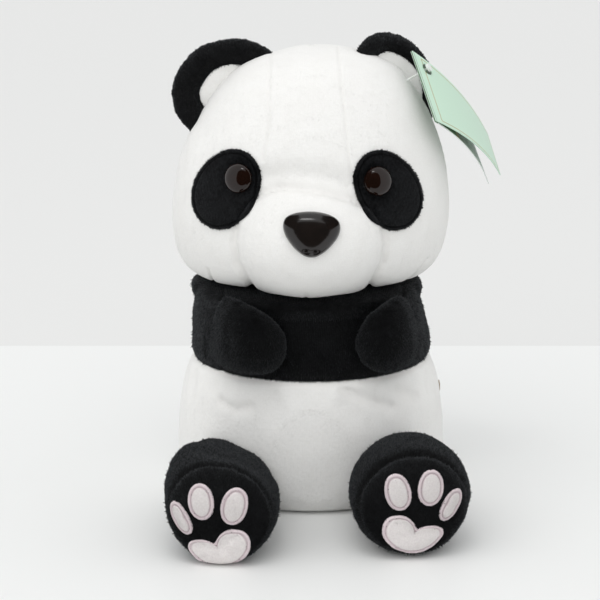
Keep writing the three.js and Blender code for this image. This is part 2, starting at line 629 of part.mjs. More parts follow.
for (const side of [leftSide, rightSide]) {
  const centreHeight = side.legRadius * legHeightShare - flatCut;
  const soleReach = side.legRootReach + side.legLength;
  const group = addGroup(side.sign * side.soleAcross, -soleReach, centreHeight, side.sign * legSplay);
  const body = bodyForm(-gap, bodySides, into(group));
  const floor = block(-reach, reach, -reach, reach, -reach, -centreHeight);
  const away = body.add(floor);
  const outer = legForm(side, 0);
  const shell = outer.subtract(legForm(side, clothWall, limbSides / 2)).subtract(away);
  const soleRadius = soleRadiusShare * side.legRadius;
  const soleZone = (radius, depth) => {
    const cylinder = new THREE.CylinderGeometry(radius, radius, depth + cutRun, limbSides);
    cylinder.scale(1, 1, legHeightShare);
    cylinder.translate(0, (depth - cutRun) / 2, 0);
    return solid(cylinder);
  };
  addPiece(group, `leg_skin_${side.name}`, shell.subtract(soleZone(soleRadius + gap, soleSeamDepth + gap)),
    blackPlush);
  addPiece(group, `sole_${side.name}`, shell.intersect(soleZone(soleRadius, soleSeamDepth)), blackPlush);
  addPiece(group, `leg_stuffing_${side.name}`, legForm(side, clothWall + gap, limbSides / 2).subtract(away),
    stuffingFibre);

  const padSkin = legForm(side, -gap - appliqueWall).subtract(legForm(side, -gap)).subtract(floor);
  const placed = (out, up) => {
    const roll = side.sign * -padRoll;
    const flatX = side.sign * out;
    return new THREE.Vector2(
      flatX * Math.cos(roll) - up * Math.sin(roll),
      flatX * Math.sin(roll) + up * Math.cos(roll) - side.padDrop,
    );
  };
  for (const toe of toePads) {
    const lean = THREE.MathUtils.degToRad(toe.lean);
    const outline = [];
    for (let step = 0; step < smallSides; step += 1) {
      const angle = (step / smallSides) * Math.PI * 2;
      const out = toe.halfWidth * Math.cos(angle);
      const up = toe.halfHeight * Math.sin(angle);
      outline.push(placed(
        toe.outward + out * Math.cos(lean) + up * Math.sin(lean),
        toe.up - out * Math.sin(lean) + up * Math.cos(lean),
      ));
    }
    const pad = padSkin.intersect(frontPrism(new THREE.Shape(outline), -cutRun, padDepth));
    addPiece(group, `toe_pad_${toe.name}_${side.name}`, pad, padPlush);
  }
  const heart = heartOutlineShares.map(([out, up]) => {
    const rise = up * heartPad.height - heartPad.height / 2;
    const point = placed(heartPad.outward - out * heartPad.halfWidth, heartPad.up + rise);
    return new THREE.Vector3(point.x, point.y, 0);
  });
  const pad = padSkin.intersect(frontPrism(smoothOutline(heart), -cutRun, padDepth));
  addPiece(group, `heart_pad_${side.name}`, pad, padPlush);
}

addEar(leftSide);
addEar(rightSide);

export default panda;
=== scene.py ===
import math
import random

import bmesh
import bpy
import numpy as np
from mathutils import Matrix, Vector, noise
from mathutils.bvhtree import BVHTree


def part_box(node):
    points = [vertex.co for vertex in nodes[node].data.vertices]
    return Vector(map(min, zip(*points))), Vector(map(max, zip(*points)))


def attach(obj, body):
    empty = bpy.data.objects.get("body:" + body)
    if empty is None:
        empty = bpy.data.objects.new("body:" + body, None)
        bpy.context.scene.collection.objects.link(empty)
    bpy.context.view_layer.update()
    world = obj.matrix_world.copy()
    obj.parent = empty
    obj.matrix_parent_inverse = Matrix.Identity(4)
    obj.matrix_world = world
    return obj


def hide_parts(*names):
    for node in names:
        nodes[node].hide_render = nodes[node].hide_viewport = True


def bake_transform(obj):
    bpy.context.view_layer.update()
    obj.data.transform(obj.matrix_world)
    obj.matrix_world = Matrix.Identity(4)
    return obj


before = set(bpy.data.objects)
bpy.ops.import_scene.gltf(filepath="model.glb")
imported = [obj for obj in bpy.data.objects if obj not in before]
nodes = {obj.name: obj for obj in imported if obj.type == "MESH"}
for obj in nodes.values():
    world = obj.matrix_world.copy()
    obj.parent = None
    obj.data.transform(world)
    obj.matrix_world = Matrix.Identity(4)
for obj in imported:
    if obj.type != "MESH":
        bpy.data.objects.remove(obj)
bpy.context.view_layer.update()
scene = bpy.context.scene
MM = 0.001


# Stage: a pale board on a pale floor, with soft light from above the camera and from the left. The
# dark cards stand behind the camera and beside the eyes, and are seen only in the gloss of the plastic.
# The cards beside the eyes put a painted dark reflection into the eyes and nose.
CAMERA_PITCH = math.radians(14)
CAMERA_REACH = 1250 * MM
CAMERA_LENS = 130.44
CAMERA_AIM = Vector((-6.3, 0, 105)) * MM
BOARD_BACK = 286 * MM
BOARD_HALF_WIDTH = 2.4
BOARD_FRONT = 2.4
FLOOR_HALF_SIZE = 6
FLOOR_DROP = 1.5 * MM
CARD_DISTANCE = 1.7
CARD_HALF_WIDTH = 1.75
CARD_LOW = -0.7
CARD_HIGH = 2.8
CARD_SIDES = 32
CARD_ROUNDING = 0.7
EYE_CARD_ASIDE = 20 * MM
EYE_CARD_BACK = -60 * MM
EYE_CARD_FRONT = -106 * MM
EYE_CARD_LOW = 168 * MM
EYE_CARD_HIGH = 230 * MM
BOARD_WHITE = (0.84, 0.845, 0.835)
FLOOR_WHITE = (0.765, 0.765, 0.755)
CARD_BLACK = (0.004, 0.003, 0.003)
ROOM_COLOUR = (0.98, 0.99, 1)
ROOM_STRENGTH = 0.76
LIGHT_COLOUR = (1, 0.995, 0.985)
SUN_SPREAD = math.radians(80)
WINDOW_PLACE = (-0.55, -1, 1.5)
WINDOW_POWER = 1.15
FILL_PLACE = (1.3, -0.7, 0.9)
FILL_POWER = 0.2
OVERHEAD_PLACE = (-0.12, -0.55, 1.7)
OVERHEAD_WIDTH = 0.42
OVERHEAD_WIDTH_TO_DEPTH = 3
OVERHEAD_POWER = 1.5

scene.view_settings.view_transform = "Standard"

camera_data = bpy.data.cameras.new("camera")
camera_data.lens = CAMERA_LENS
camera = bpy.data.objects.new("camera", camera_data)
scene.collection.objects.link(camera)
camera_back = Vector((0, -math.cos(CAMERA_PITCH), math.sin(CAMERA_PITCH)))
camera.location = CAMERA_AIM + camera_back * CAMERA_REACH
camera.rotation_euler = (math.pi / 2 - CAMERA_PITCH, 0, 0)
scene.camera = camera


def set_inputs(node, values):
    """Gives inputs their values, by name or number. An output of another node is linked instead."""
    for socket, value in values.items():
        if isinstance(value, bpy.types.NodeSocket):
            node.id_data.links.new(value, node.inputs[socket])
        else:
            node.inputs[socket].default_value = value


def new_material(name):
    """An empty material, its node tree and its main shader."""
    material = bpy.data.materials.new(name)
    material.use_nodes = True
    return material, material.node_tree, material.node_tree.nodes["Principled BSDF"]


def plain_material(name, colour, roughness):
    material, _, shader = new_material(name)
    set_inputs(shader, {"Base Color": (*colour, 1), "Roughness": roughness})
    return material


def new_object(name, bm):
    """Makes an object of a bmesh and frees the bmesh."""
    mesh = bpy.data.meshes.new(name)
    bm.to_mesh(mesh)
    bm.free()
    made = bpy.data.objects.new(name, mesh)
    scene.collection.objects.link(made)
    return made


def stage_plane(name, corners, material):
    bm = bmesh.new()
    bm.faces.new([bm.verts.new(corner) for corner in corners])
    plane = new_object(name, bm)
    plane.data.materials.append(material)
    return plane


board = stage_plane("board", [
    (-BOARD_HALF_WIDTH, -BOARD_FRONT, 0), (BOARD_HALF_WIDTH, -BOARD_FRONT, 0),
    (BOARD_HALF_WIDTH, BOARD_BACK, 0), (-BOARD_HALF_WIDTH, BOARD_BACK, 0),
], plain_material("board_white", BOARD_WHITE, roughness=0.55))
floor = stage_plane("floor", [
    (-FLOOR_HALF_SIZE, -FLOOR_HALF_SIZE, -FLOOR_DROP), (FLOOR_HALF_SIZE, -FLOOR_HALF_SIZE, -FLOOR_DROP),
    (FLOOR_HALF_SIZE, FLOOR_HALF_SIZE, -FLOOR_DROP), (-FLOOR_HALF_SIZE, FLOOR_HALF_SIZE, -FLOOR_DROP),
], plain_material("floor_white", FLOOR_WHITE, roughness=0.7))
card_corners = []
for step in range(CARD_SIDES):
    angle = step / CARD_SIDES * 2 * math.pi
    across_share = math.copysign(abs(math.cos(angle)) ** CARD_ROUNDING, math.cos(angle))
    up_share = math.copysign(abs(math.sin(angle)) ** CARD_ROUNDING, math.sin(angle))
    up = (CARD_HIGH + CARD_LOW) / 2 + (CARD_HIGH - CARD_LOW) / 2 * up_share
    card_corners.append((CARD_HALF_WIDTH * across_share, -CARD_DISTANCE, up))
card_black = plain_material("card_black", CARD_BLACK, roughness=0.9)
dark_cards = {"dark_card": card_corners}
for side, sign in [("left", -1), ("right", 1)]:
    aside = sign * EYE_CARD_ASIDE
    dark_cards[f"eye_card_{side}"] = [
        (aside, EYE_CARD_BACK, EYE_CARD_LOW), (aside, EYE_CARD_FRONT, EYE_CARD_LOW),
        (aside, EYE_CARD_FRONT, EYE_CARD_HIGH), (aside, EYE_CARD_BACK, EYE_CARD_HIGH),
    ]
for name, corners in dark_cards.items():
    card = stage_plane(name, corners, card_black)
    card.visible_camera = False
    card.visible_diffuse = False
    card.visible_shadow = False
    card.visible_transmission = False
board.visible_glossy = False
floor.visible_glossy = False

world = bpy.data.worlds.new("room")
world.use_nodes = True
set_inputs(world.node_tree.nodes["Background"], {"Color": (*ROOM_COLOUR, 1), "Strength": ROOM_STRENGTH})
scene.world = world


def soft_light(name, kind, place, size, power, in_gloss):
    """A soft light that faces the toy. size is the angle of a sun, or the width of a panel."""
    data = bpy.data.lights.new(name, kind)
    if kind == "SUN":
        data.angle = size
    else:
        data.shape = "RECTANGLE"
        data.size = size
        data.size_y = size / OVERHEAD_WIDTH_TO_DEPTH
    data.energy = power
    data.color = LIGHT_COLOUR
    lamp = bpy.data.objects.new(name, data)
    lamp.location = place
    lamp.rotation_mode = "QUATERNION"
    lamp.rotation_quaternion = (CAMERA_AIM - Vector(place)).to_track_quat("-Z", "Y")
    lamp.visible_glossy = in_gloss
    scene.collection.objects.link(lamp)


soft_light("window_light", "SUN", WINDOW_PLACE, SUN_SPREAD, WINDOW_POWER, False)
soft_light("overhead_light", "AREA", OVERHEAD_PLACE, OVERHEAD_WIDTH, OVERHEAD_POWER, True)
soft_light("fill_light", "SUN", FILL_PLACE, SUN_SPREAD, FILL_POWER, False)


# Head skin: five panels of white short-pile plush and a bulging muzzle panel, sewn inside out, turned
# and stuffed firmly. The seams draw in a little, and the pile is combed down from the crown.
HEAD_NODES = [
    "forehead_panel", "cheek_panel_left", "cheek_panel_right", "head_back_left", "head_back_right",
    "muzzle_panel", "head_stuffing",
]
HEAD_VOXEL = 5 * MM
WELD_GAP = 0.01 * MM
HEAD_LOW = 119.8 * MM
HEAD_HELD_HEIGHT = 3 * MM
HEAD_HELD_FADE = 2 * MM
HEAD_SWELL_LIMIT = 1.2 * MM
HEAD_UNEVEN_SIZE = 24 * MM
HEAD_UNEVEN_DEPTH = 0.4 * MM
HEAD_FILL_SHARE = 0.85
MUZZLE_FRONT_Y = -20 * MM
HEAD_SEAM_DEPTH = 0.5 * MM
HEAD_SEAM_WIDTH = 0.8 * MM
CHEEK_SEAM_DEPTH = 1.1 * MM
EAR_ROOT_DEPTH = 1.7 * MM
EAR_ROOT_WIDTH = 9 * MM
HEAD_LEAN = 0.03
HEAD_LEAN_HEIGHT = 165 * MM
CHIN_LIFT = 4.8 * MM
CHIN_HEIGHT = 16 * MM
CHIN_REACH = 75 * MM
MUZZLE_SEAM_DEPTH = 2.2 * MM
MUZZLE_SEAM_WIDTH = 2 * MM
MUZZLE_SWELL = 2.6 * MM
MUZZLE_SWELL_WIDTH = 7 * MM
BROW_DEPTH = 3.4 * MM
BROW_WIDTH = 6.5 * MM
CORONAL_SEAM_Y = 4 * MM
WHITE_PILE_HEIGHT = 0.15 * MM
WHITE_PILE_SCATTER = 0.12 * MM
LONG_TUFT_SHARE = 0.08
LONG_TUFT_REACH = 0.9
FRINGE_INSET = 0.7
PILE_BUMP = 0.4 * MM
WHITE_PLUSH = (0.845, 0.842, 0.825)
# Painted shade deep in the white pile, at the tufts' roots
WHITE_ROOT_SHADE = (0.8, 0.792, 0.772)
HEAD_ROUNDING = 12
STUFFING_FRAMES = 20
STUFFING_PRESSURE = 4

# Seams of the face in the front view, in millimetres across and up
FACE_SEAMS = {
    "forehead_left": [(-22.7, 262), (-22.7, 214), (-25.4, 204), (-26, 197)],
    "forehead_right": [(14, 262), (15.5, 240), (17.8, 221), (18.9, 204), (21.5, 190)],
    "cheek_left": [(-57, 133), (-54, 120)],
    "cheek_right": [(65, 137), (50, 119)],
    "chin": [(-3, 127), (-3, 117)],
}
BROW = [(-24, 188), (-8, 191), (6, 189), (24, 184), (33, 178)]
MUZZLE_SEAM = [
    (-29, 111.8), (-34, 126.9), (-40.6, 140), (-42.6, 152), (-41, 164), (-35, 174.5),
    (-27, 180.5), (-18, 183.6), (-7, 183.9), (6, 182), (21.8, 177.6), (33, 171),
    (39, 162), (41, 152), (39.5, 140), (33, 126.9), (29, 111.8),
]
EAR_ROOT = [(-64, 213), (-45, 237), (-18, 252)]


def joined_copy(name, node_names):
    """One mesh from copies of CAD nodes, with their shared corners merged."""
    bm = bmesh.new()
    for node_name in node_names:
        bm.from_mesh(nodes[node_name].data)
    bmesh.ops.remove_doubles(bm, verts=bm.verts, dist=WELD_GAP)
    return new_object(name, bm)


def apply_modifiers(piece):
    mesh = bpy.data.meshes.new_from_object(piece.evaluated_get(bpy.context.evaluated_depsgraph_get()))
    piece.modifiers.clear()
    piece.data = mesh


def even_skin(piece, voxel, rounding):
    """Makes a closed mesh one even skin, with its edges rounded."""
    remesh = piece.modifiers.new("even_mesh", "REMESH")
    remesh.mode = "VOXEL"
    remesh.voxel_size = voxel
    smooth = piece.modifiers.new("rounding", "SMOOTH")
    smooth.factor = 0.5
    smooth.iterations = rounding
    apply_modifiers(piece)


def cloth_form(name, node_names, voxel, rounding):
    """The outer skin of some solids as one even mesh, with its edges rounded."""
    piece = joined_copy(name, node_names)
    even_skin(piece, voxel, rounding)
    return piece


def points_of(mesh, measure="co"):
    values = np.empty(len(mesh.vertices) * 3)
    mesh.vertices.foreach_get(measure, values)
    return values.reshape(-1, 3)


def normals_of(mesh):
    return points_of(mesh, "normal")


def set_points(mesh, points):
    mesh.vertices.foreach_set("co", points.ravel())
    mesh.update()


def stuff(piece, held, growth, limit):
    """Fills a skin: its seams are held, the cloth grows a little, and pressure rounds it between them."""
    start = points_of(piece.data)
    seams = piece.vertex_groups.new(name="seams")
    for index, weight in enumerate(held(start)):
        if weight > 0:
            seams.add([index], float(weight), "REPLACE")
    cloth = piece.modifiers.new("stuffing", "CLOTH")
    cloth.settings.vertex_group_mass = seams.name
    cloth.settings.use_pressure = True
    cloth.settings.uniform_pressure_force = STUFFING_PRESSURE
    cloth.settings.shrink_min = -growth
    cloth.settings.effector_weights.gravity = 0
    cloth.point_cache.frame_start = 1
    cloth.point_cache.frame_end = STUFFING_FRAMES
    for step in range(1, STUFFING_FRAMES + 1):
        scene.frame_set(step)
    apply_modifiers(piece)
    scene.frame_set(1)
    moves = points_of(piece.data) - start
    lengths = np.linalg.norm(moves, axis=1)
    share = np.minimum(1, limit / np.maximum(lengths, limit / 100))
    set_points(piece.data, start + moves * share[:, None])


def subdivide(piece, levels):
    finer = piece.modifiers.new("finer", "SUBSURF")
    finer.levels = levels
    finer.render_levels = levels
    apply_modifiers(piece)


def distance_to_line(points, line):
    """Least distance from each point to a chain of straight stretches."""
    least = np.full(len(points), np.inf)
    for start, end in zip(line[:-1], line[1:]):
        run = end - start
        share = np.clip((points - start) @ run / (run @ run), 0, 1)
        least = np.minimum(least, np.linalg.norm(points - start - share[:, None] * run, axis=1))
    return least


def attribute_of(mesh, name):
    found = mesh.attributes.get(name) or mesh.attributes.new(name, "FLOAT", "POINT")
    values = np.zeros(len(mesh.vertices), np.float32)
    found.data.foreach_get("value", values)
    return found, values


def press_in(piece, share, depth):
    """Moves the cloth inwards by a share of a depth."""
    set_points(piece.data, points_of(piece.data) - normals_of(piece.data) * (depth * share)[:, None])


def press_seam(piece, distance, depth, width):
    """Draws the cloth in along a line, and marks the line for the material, which paints shade along it."""
    share = np.exp(-(distance / width) ** 2)
    mesh = piece.data
    press_in(piece, share, depth)
    found, values = attribute_of(mesh, "seam")
    found.data.foreach_set("value", np.maximum(values, share).astype(np.float32))


def press_front_line(piece, line, depth, width, behind=0):
    """Presses a line drawn in the front view, in millimetres, into the cloth that faces the front."""
    points = points_of(piece.data)
    flat = distance_to_line(points[:, [0, 2]], np.array(line) * MM)
    press_seam(piece, np.where(points[:, 1] < behind, flat, np.inf), depth, width)


def is_inside(points, outline):
    """Which points of the front view lie within a closed outline."""
    inside = np.zeros(len(points), bool)
    for start, end in zip(outline, np.roll(outline, -1, axis=0)):
        crossed = (points[:, 1] < start[1]) != (points[:, 1] < end[1])
        rise = end[1] - start[1] or 1
        at = start[0] + (points[:, 1] - start[1]) * (end[0] - start[0]) / rise
        inside ^= crossed & (points[:, 0] < at)
    return inside


def uneven(piece, size, amount, seed):
    """Low swells and hollows, as the stuffing leaves them."""
    mesh = piece.data
    points = points_of(mesh)
    offset = Vector((seed, seed * 2, seed * 3))
    swell = np.array([noise.noise(Vector(point) / size + offset) for point in points])
    set_points(mesh, points + normals_of(mesh) * (swell * amount)[:, None])


def grow_pile(piece, height, comb, scatter, seed, lowest=-1, fringe=0):
    """Raises each small face to a tuft that leans along the comb, and marks the tips for the material, which
    paints shade at the roots. A few are longer, and those at the edge of a patch stand out by up to the
    fringe."""
    picker = random.Random(seed)
    bm = bmesh.new()
    bm.from_mesh(piece.data)
    tips = bm.verts.layers.float.new("tip")
    inset = bm.verts.layers.float.get("inset")
    made = bmesh.ops.poke(bm, faces=bm.faces[:], offset=height, center_mode="MEAN")
    bm.normal_update()
    for vert in made["verts"]:
        lean = Vector(comb(vert.co))
        lean -= vert.normal * lean.dot(vert.normal)
        jitter = Vector([picker.uniform(-1, 1) for _ in range(3)])
        reach = LONG_TUFT_REACH if picker.random() < LONG_TUFT_SHARE else 0
        vert.co += lean * height + jitter * scatter + vert.normal * (height * reach * picker.random())
        vert[tips] = 1
        corners = [edge.other_vert(vert) for edge in vert.link_edges]
        if fringe and sum(corner[inset] for corner in corners) / len(corners) < FRINGE_INSET:
            vert.co += vert.normal * (fringe * picker.random() ** 2)
    for vert in bm.verts:
        vert.co.z = max(vert.co.z, lowest)
    bm.to_mesh(piece.data)
    bm.free()
    piece.data.shade_smooth()


def bvh_of(piece):
    bm = bmesh.new()
    bm.from_mesh(piece.data)
    tree = BVHTree.FromBMesh(bm)
    bm.free()
    return tree


def add_node(tree, kind, values, **settings):
    """Adds a node with its settings and inputs, and gives its outputs."""
    node = tree.nodes.new(f"ShaderNode{kind}")
    for setting, value in settings.items():
        setattr(node, setting, value)
    set_inputs(node, values)
    return node.outputs


def attribute_value(tree, name):
    return add_node(tree, "Attribute", {}, attribute_name=name)["Fac"]


def own_place(tree):
    return add_node(tree, "TexCoord", {})["Object"]


def texture(tree, kind, values, place=None):
    """The strength of a texture, laid out in the piece's own space unless a place is given."""
    laid_out = own_place(tree) if place is None else place
    return add_node(tree, f"Tex{kind}", {"Vector": laid_out, **values})["Fac"]


def result_of(tree, operation, *values, clamp=False):
    """The result of one sum or comparison."""
    return add_node(tree, "Math", dict(enumerate(values)), operation=operation, use_clamp=clamp)["Value"]


def map_range(tree, value, ends):
    return add_node(tree, "MapRange", {"Value": value, **ends})["Result"]


def mix_colours(tree, share, first, second):
    return add_node(tree, "Mix", {"Factor": share, "A": first, "B": second}, data_type="RGBA")["Result"]


def pile_group():
    """Short upright pile: fibres a fraction of a millimetre across, in clumps of a few, with a soft mottle
    where it is brushed one way or the other. Roots and seams are painted darker than tips, as painted
    shade, and single fibres are lightened as painted glints."""
    group = bpy.data.node_groups.new("short_pile", "ShaderNodeTree")
    for name, kind in [("Tip Colour", "Color"), ("Root Shade Colour", "Color"), ("Fibre Scale", "Float"),
                       ("Mottle Scale", "Float"), ("Mottle", "Float"), ("Bump", "Float")]:
        group.interface.new_socket(name, in_out="INPUT", socket_type=f"NodeSocket{kind}")
    for name, kind in [("Colour", "Color"), ("Normal", "Vector")]:
        group.interface.new_socket(name, in_out="OUTPUT", socket_type=f"NodeSocket{kind}")
    given = group.nodes.new("NodeGroupInput").outputs
    combed = add_node(group, "Mapping", {"Vector": own_place(group), "Scale": (1, 1, 0.7)})["Vector"]
    fibres = texture(group, "Noise", {"Scale": given["Fibre Scale"], "Detail": 3}, combed)
    mottle = texture(group, "Noise", {"Scale": given["Mottle Scale"], "Detail": 4, "Distortion": 0.6})
    # Painted shade and glints: the colour runs from the painted root shade deep in the pile to the tip
    # colour, the fibre noise lightens single fibres as painted glints, and the seam mark darkens seams as
    # painted shade.
    sparkle = map_range(group, fibres, {"From Min": 0.35, "From Max": 0.65})
    half = result_of(group, "MULTIPLY", sparkle, 0.5)
    height = result_of(group, "MULTIPLY_ADD", attribute_value(group, "tip"), 0.5, half)
    brushed = result_of(group, "SUBTRACT", mottle, 0.5)
    strength = result_of(group, "MULTIPLY_ADD", brushed, given["Mottle"], height)
    seam_shaded = result_of(group, "SUBTRACT", strength, attribute_value(group, "seam"), clamp=True)
    bump = {"Distance": PILE_BUMP, "Strength": given["Bump"], "Height": fibres}
    set_inputs(group.nodes.new("NodeGroupOutput"), {
        "Colour": mix_colours(group, seam_shaded, given["Root Shade Colour"], given["Tip Colour"]),
        "Normal": add_node(group, "Bump", bump)["Normal"],
    })
    return group


short_pile = pile_group()


def plush_material(name, tip, root, fibre_scale, mottle_scale, mottle, bump, sheen, sheen_tint, roughness):
    material, tree, shader = new_material(name)
    # root is a painted shade: the colour the pile takes deep down, where the tufts shade it.
    pile = add_node(tree, "Group", {
        "Tip Colour": (*tip, 1), "Root Shade Colour": (*root, 1), "Fibre Scale": fibre_scale,
        "Mottle Scale": mottle_scale, "Mottle": mottle, "Bump": bump,
    }, node_tree=short_pile)
    set_inputs(shader, {
        "Base Color": pile["Colour"], "Normal": pile["Normal"], "Roughness": roughness,
        "Specular IOR Level": 0.2, "Sheen Weight": sheen, "Sheen Roughness": 0.5,
        "Sheen Tint": (*sheen_tint, 1),
    })
    return material


white_plush = plush_material("white_plush", tip=WHITE_PLUSH, root=WHITE_ROOT_SHADE, fibre_scale=1400,
                             mottle_scale=60, mottle=1.2, bump=0.08, sheen=0.12, sheen_tint=(1, 1, 1),
                             roughness=0.95)


def dress(piece, material, body, slot, fill, *replaced):
    """Gives a padded piece its cloth and its body, and hides the CAD parts it replaces. A piece given no
    body is not attached to one."""
    piece.data.materials.clear()
    piece.data.materials.append(material)
    if replaced:
        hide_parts(*replaced)
    if body:
        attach(piece, body)


def comb_down(point):
    """The pile's lie on an upright piece: down, and a little away from the middle."""
    return Vector((point.x * 4, point.y * 4, -1)).normalized()


head = cloth_form("head_skin", HEAD_NODES, HEAD_VOXEL, HEAD_ROUNDING)


def head_held(points):
    return np.clip((HEAD_LOW + HEAD_HELD_HEIGHT - points[:, 2]) / HEAD_HELD_FADE, 0, 1)


stuff(head, head_held, 0.0, HEAD_SWELL_LIMIT)
subdivide(head, 2)
uneven(head, HEAD_UNEVEN_SIZE, HEAD_UNEVEN_DEPTH, seed=3)
head_points = points_of(head.data)
head_points[:, 0] += HEAD_LEAN * (head_points[:, 2] - HEAD_LEAN_HEIGHT)
above_chin = np.clip((head_points[:, 2] - HEAD_LOW) / CHIN_HEIGHT, 0, 1)
head_points[:, 2] += CHIN_LIFT * (1 - above_chin) ** 2 * np.clip(-head_points[:, 1] / CHIN_REACH, 0, 1)
set_points(head.data, head_points)
flat_points = head_points[:, [0, 2]]
muzzle_edge = np.array(MUZZLE_SEAM) * MM
on_muzzle = is_inside(flat_points, muzzle_edge) & (head_points[:, 1] < MUZZLE_FRONT_Y)
from_seam = distance_to_line(flat_points, muzzle_edge)
swell = MUZZLE_SWELL * (1 - np.exp(-(from_seam / MUZZLE_SWELL_WIDTH) ** 2)) * on_muzzle
set_points(head.data, head_points + normals_of(head.data) * swell[:, None])
brow = distance_to_line(points_of(head.data)[:, [0, 2]], np.array(BROW) * MM)
press_in(head, np.exp(-(brow / BROW_WIDTH) ** 2) * ~on_muzzle * (head_points[:, 1] < 0), BROW_DEPTH)
ear_root = distance_to_line(points_of(head.data)[:, [0, 2]], np.array(EAR_ROOT) * MM)
press_in(head, np.exp(-(ear_root / EAR_ROOT_WIDTH) ** 2), EAR_ROOT_DEPTH)
for seam_name, line in FACE_SEAMS.items():
    depth = CHEEK_SEAM_DEPTH if seam_name.startswith("cheek") else HEAD_SEAM_DEPTH
    press_front_line(head, line, depth, HEAD_SEAM_WIDTH, CORONAL_SEAM_Y)
press_front_line(head, MUZZLE_SEAM, MUZZLE_SEAM_DEPTH, MUZZLE_SEAM_WIDTH, MUZZLE_FRONT_Y)
head_points = points_of(head.data)
press_seam(head, np.abs(head_points[:, 1] - CORONAL_SEAM_Y), HEAD_SEAM_DEPTH, HEAD_SEAM_WIDTH)
press_seam(head, np.where(head_points[:, 1] > CORONAL_SEAM_Y, np.abs(head_points[:, 0]), np.inf),
           HEAD_SEAM_DEPTH, HEAD_SEAM_WIDTH)
head_surface = bvh_of(head)
grow_pile(head, WHITE_PILE_HEIGHT, comb_down, WHITE_PILE_SCATTER, seed=11)
dress(head, white_plush, "torso", "white_plush", HEAD_FILL_SHARE, *HEAD_NODES)


# Ears: padded black discs sewn into the crown seam, each with a white cup in front whose edge the black
# rim rolls round. The right one is turned further out.
EAR_VOXEL = 2 * MM
CUP_VOXEL = EAR_VOXEL / 2
EAR_UNEVEN_SIZE = 14 * MM
EAR_UNEVEN_DEPTH = 0.7 * MM
CUP_UNEVEN_SIZE = 10 * MM
CUP_UNEVEN_DEPTH = 0.5 * MM
EAR_FILL_SHARE = 0.5
CUP_FILL_SHARE = 0.2
EAR_RADIUS = 32.4 * MM
# Profiles as shares of the radius: out from the middle, and back. The rim's go from the cup to the edge.
EAR_BACK_SHARES = [(0, 0.2), (0.5, 0.2), (0.72, 0.17), (0.88, 0.1), (0.97, 0.03), (1, -0.04), (0.98, -0.1)]
RIM_SHARES = [(0.8, -0.16), (0.5, -0.18), (0.2, -0.15), (0.05, -0.1), (0, -0.05)]
CUP_PROFILE_SHARES = [(0, 0.03), (0.9, 0.03), (0.99, -0.01), (1, -0.05), (0.96, -0.1), (0.86, -0.14),
                      (0.6, -0.17), (0, -0.19)]
EAR_SIDES = 72
EARS = {
    "left": {"centre": Vector((-44.9, 5, 224.8)) * MM, "turn": math.radians(6), "cup_share": 0.575,
             "slope": math.radians(5), "long": 1.04, "across": 0.94},
    "right": {"centre": Vector((46.6, 5, 229.4)) * MM, "turn": math.radians(26), "cup_share": 0.69,
              "slope": math.radians(-52), "long": 1, "across": 0.73},
}
CUP_DROP = 0.8 * MM
BLACK_PLUSH = (0.0075, 0.008, 0.009)
# Painted shade deep in the black pile, at the tufts' roots
BLACK_ROOT_SHADE = (0.001, 0.001, 0.0012)
BLACK_PILE_HEIGHT = 1.1 * MM
BLACK_PILE_SCATTER = 0.4 * MM
EAR_PILE_HEIGHT = 0.6 * MM

black_plush = plush_material("black_plush", tip=BLACK_PLUSH, root=BLACK_ROOT_SHADE, fibre_scale=1000,
                             mottle_scale=110, mottle=0.8, bump=0.6, sheen=0.1,
                             sheen_tint=(0.7, 0.75, 0.8), roughness=0.7)


def comb_out(point):
    """The pile's lie on a lying or leaning piece: outwards and up."""
    return Vector((point.x, 0, 0.5)).normalized()


def spin_profile(profile, sides):
    """Spins a profile, given as pairs of out and back, about its middle into a closed round shape."""
    bm = bmesh.new()
    row = [bm.verts.new((out, deep, 0)) for out, deep in profile]
    chain = [bm.edges.new(pair) for pair in zip(row[:-1], row[1:])]
    bmesh.ops.spin(bm, geom=row + chain, cent=(0, 0, 0), axis=(0, 1, 0), angle=2 * math.pi, steps=sides,
                   use_merge=True)
    bmesh.ops.remove_doubles(bm, verts=bm.verts, dist=WELD_GAP)
    bmesh.ops.recalc_face_normals(bm, faces=bm.faces)
    return bm


def spun_disc(name, shares, radius, ear, drop):
    """A round padded shape about the ear's own middle, stretched a little along a slope and turned out."""
    bm = spin_profile([(out * radius, deep * radius) for out, deep in shares], EAR_SIDES)
    turned = Matrix.Rotation(ear["turn"], 4, "Z")
    tilt = Matrix.Rotation(-ear["slope"], 4, "Y")
    stretch = Matrix.Diagonal((ear["long"], 1, ear["across"], 1))
    place = Matrix.Translation(ear["centre"] - Vector((0, 0, drop)))
    bmesh.ops.transform(bm, verts=bm.verts, matrix=place @ tilt @ stretch @ tilt.inverted() @ turned)
    return new_object(name, bm)


for side, ear_sizes in EARS.items():
    cup_share = ear_sizes["cup_share"]
    rim = [(cup_share + out * (1 - cup_share), deep) for out, deep in RIM_SHARES]
    rim.append((0, RIM_SHARES[-1][1]))
    ear = spun_disc(f"ear_{side}", EAR_BACK_SHARES + rim, EAR_RADIUS, ear_sizes, 0)
    even_skin(ear, EAR_VOXEL, rounding=2)
    subdivide(ear, 1)
    uneven(ear, EAR_UNEVEN_SIZE, EAR_UNEVEN_DEPTH, seed=5)
    grow_pile(ear, EAR_PILE_HEIGHT, comb_out, BLACK_PILE_SCATTER, seed=21)
    dress(ear, black_plush, "torso", "black_plush", EAR_FILL_SHARE, f"ear_back_{side}")

    cup = spun_disc(f"ear_cup_{side}", CUP_PROFILE_SHARES, cup_share * EAR_RADIUS, ear_sizes, CUP_DROP)
    even_skin(cup, CUP_VOXEL, rounding=1)
    uneven(cup, CUP_UNEVEN_SIZE, CUP_UNEVEN_DEPTH, seed=6)
    grow_pile(cup, WHITE_PILE_HEIGHT, comb_down, WHITE_PILE_SCATTER, seed=23)
    dress(cup, white_plush, "torso", "white_plush", CUP_FILL_SHARE, f"ear_inner_{side}")


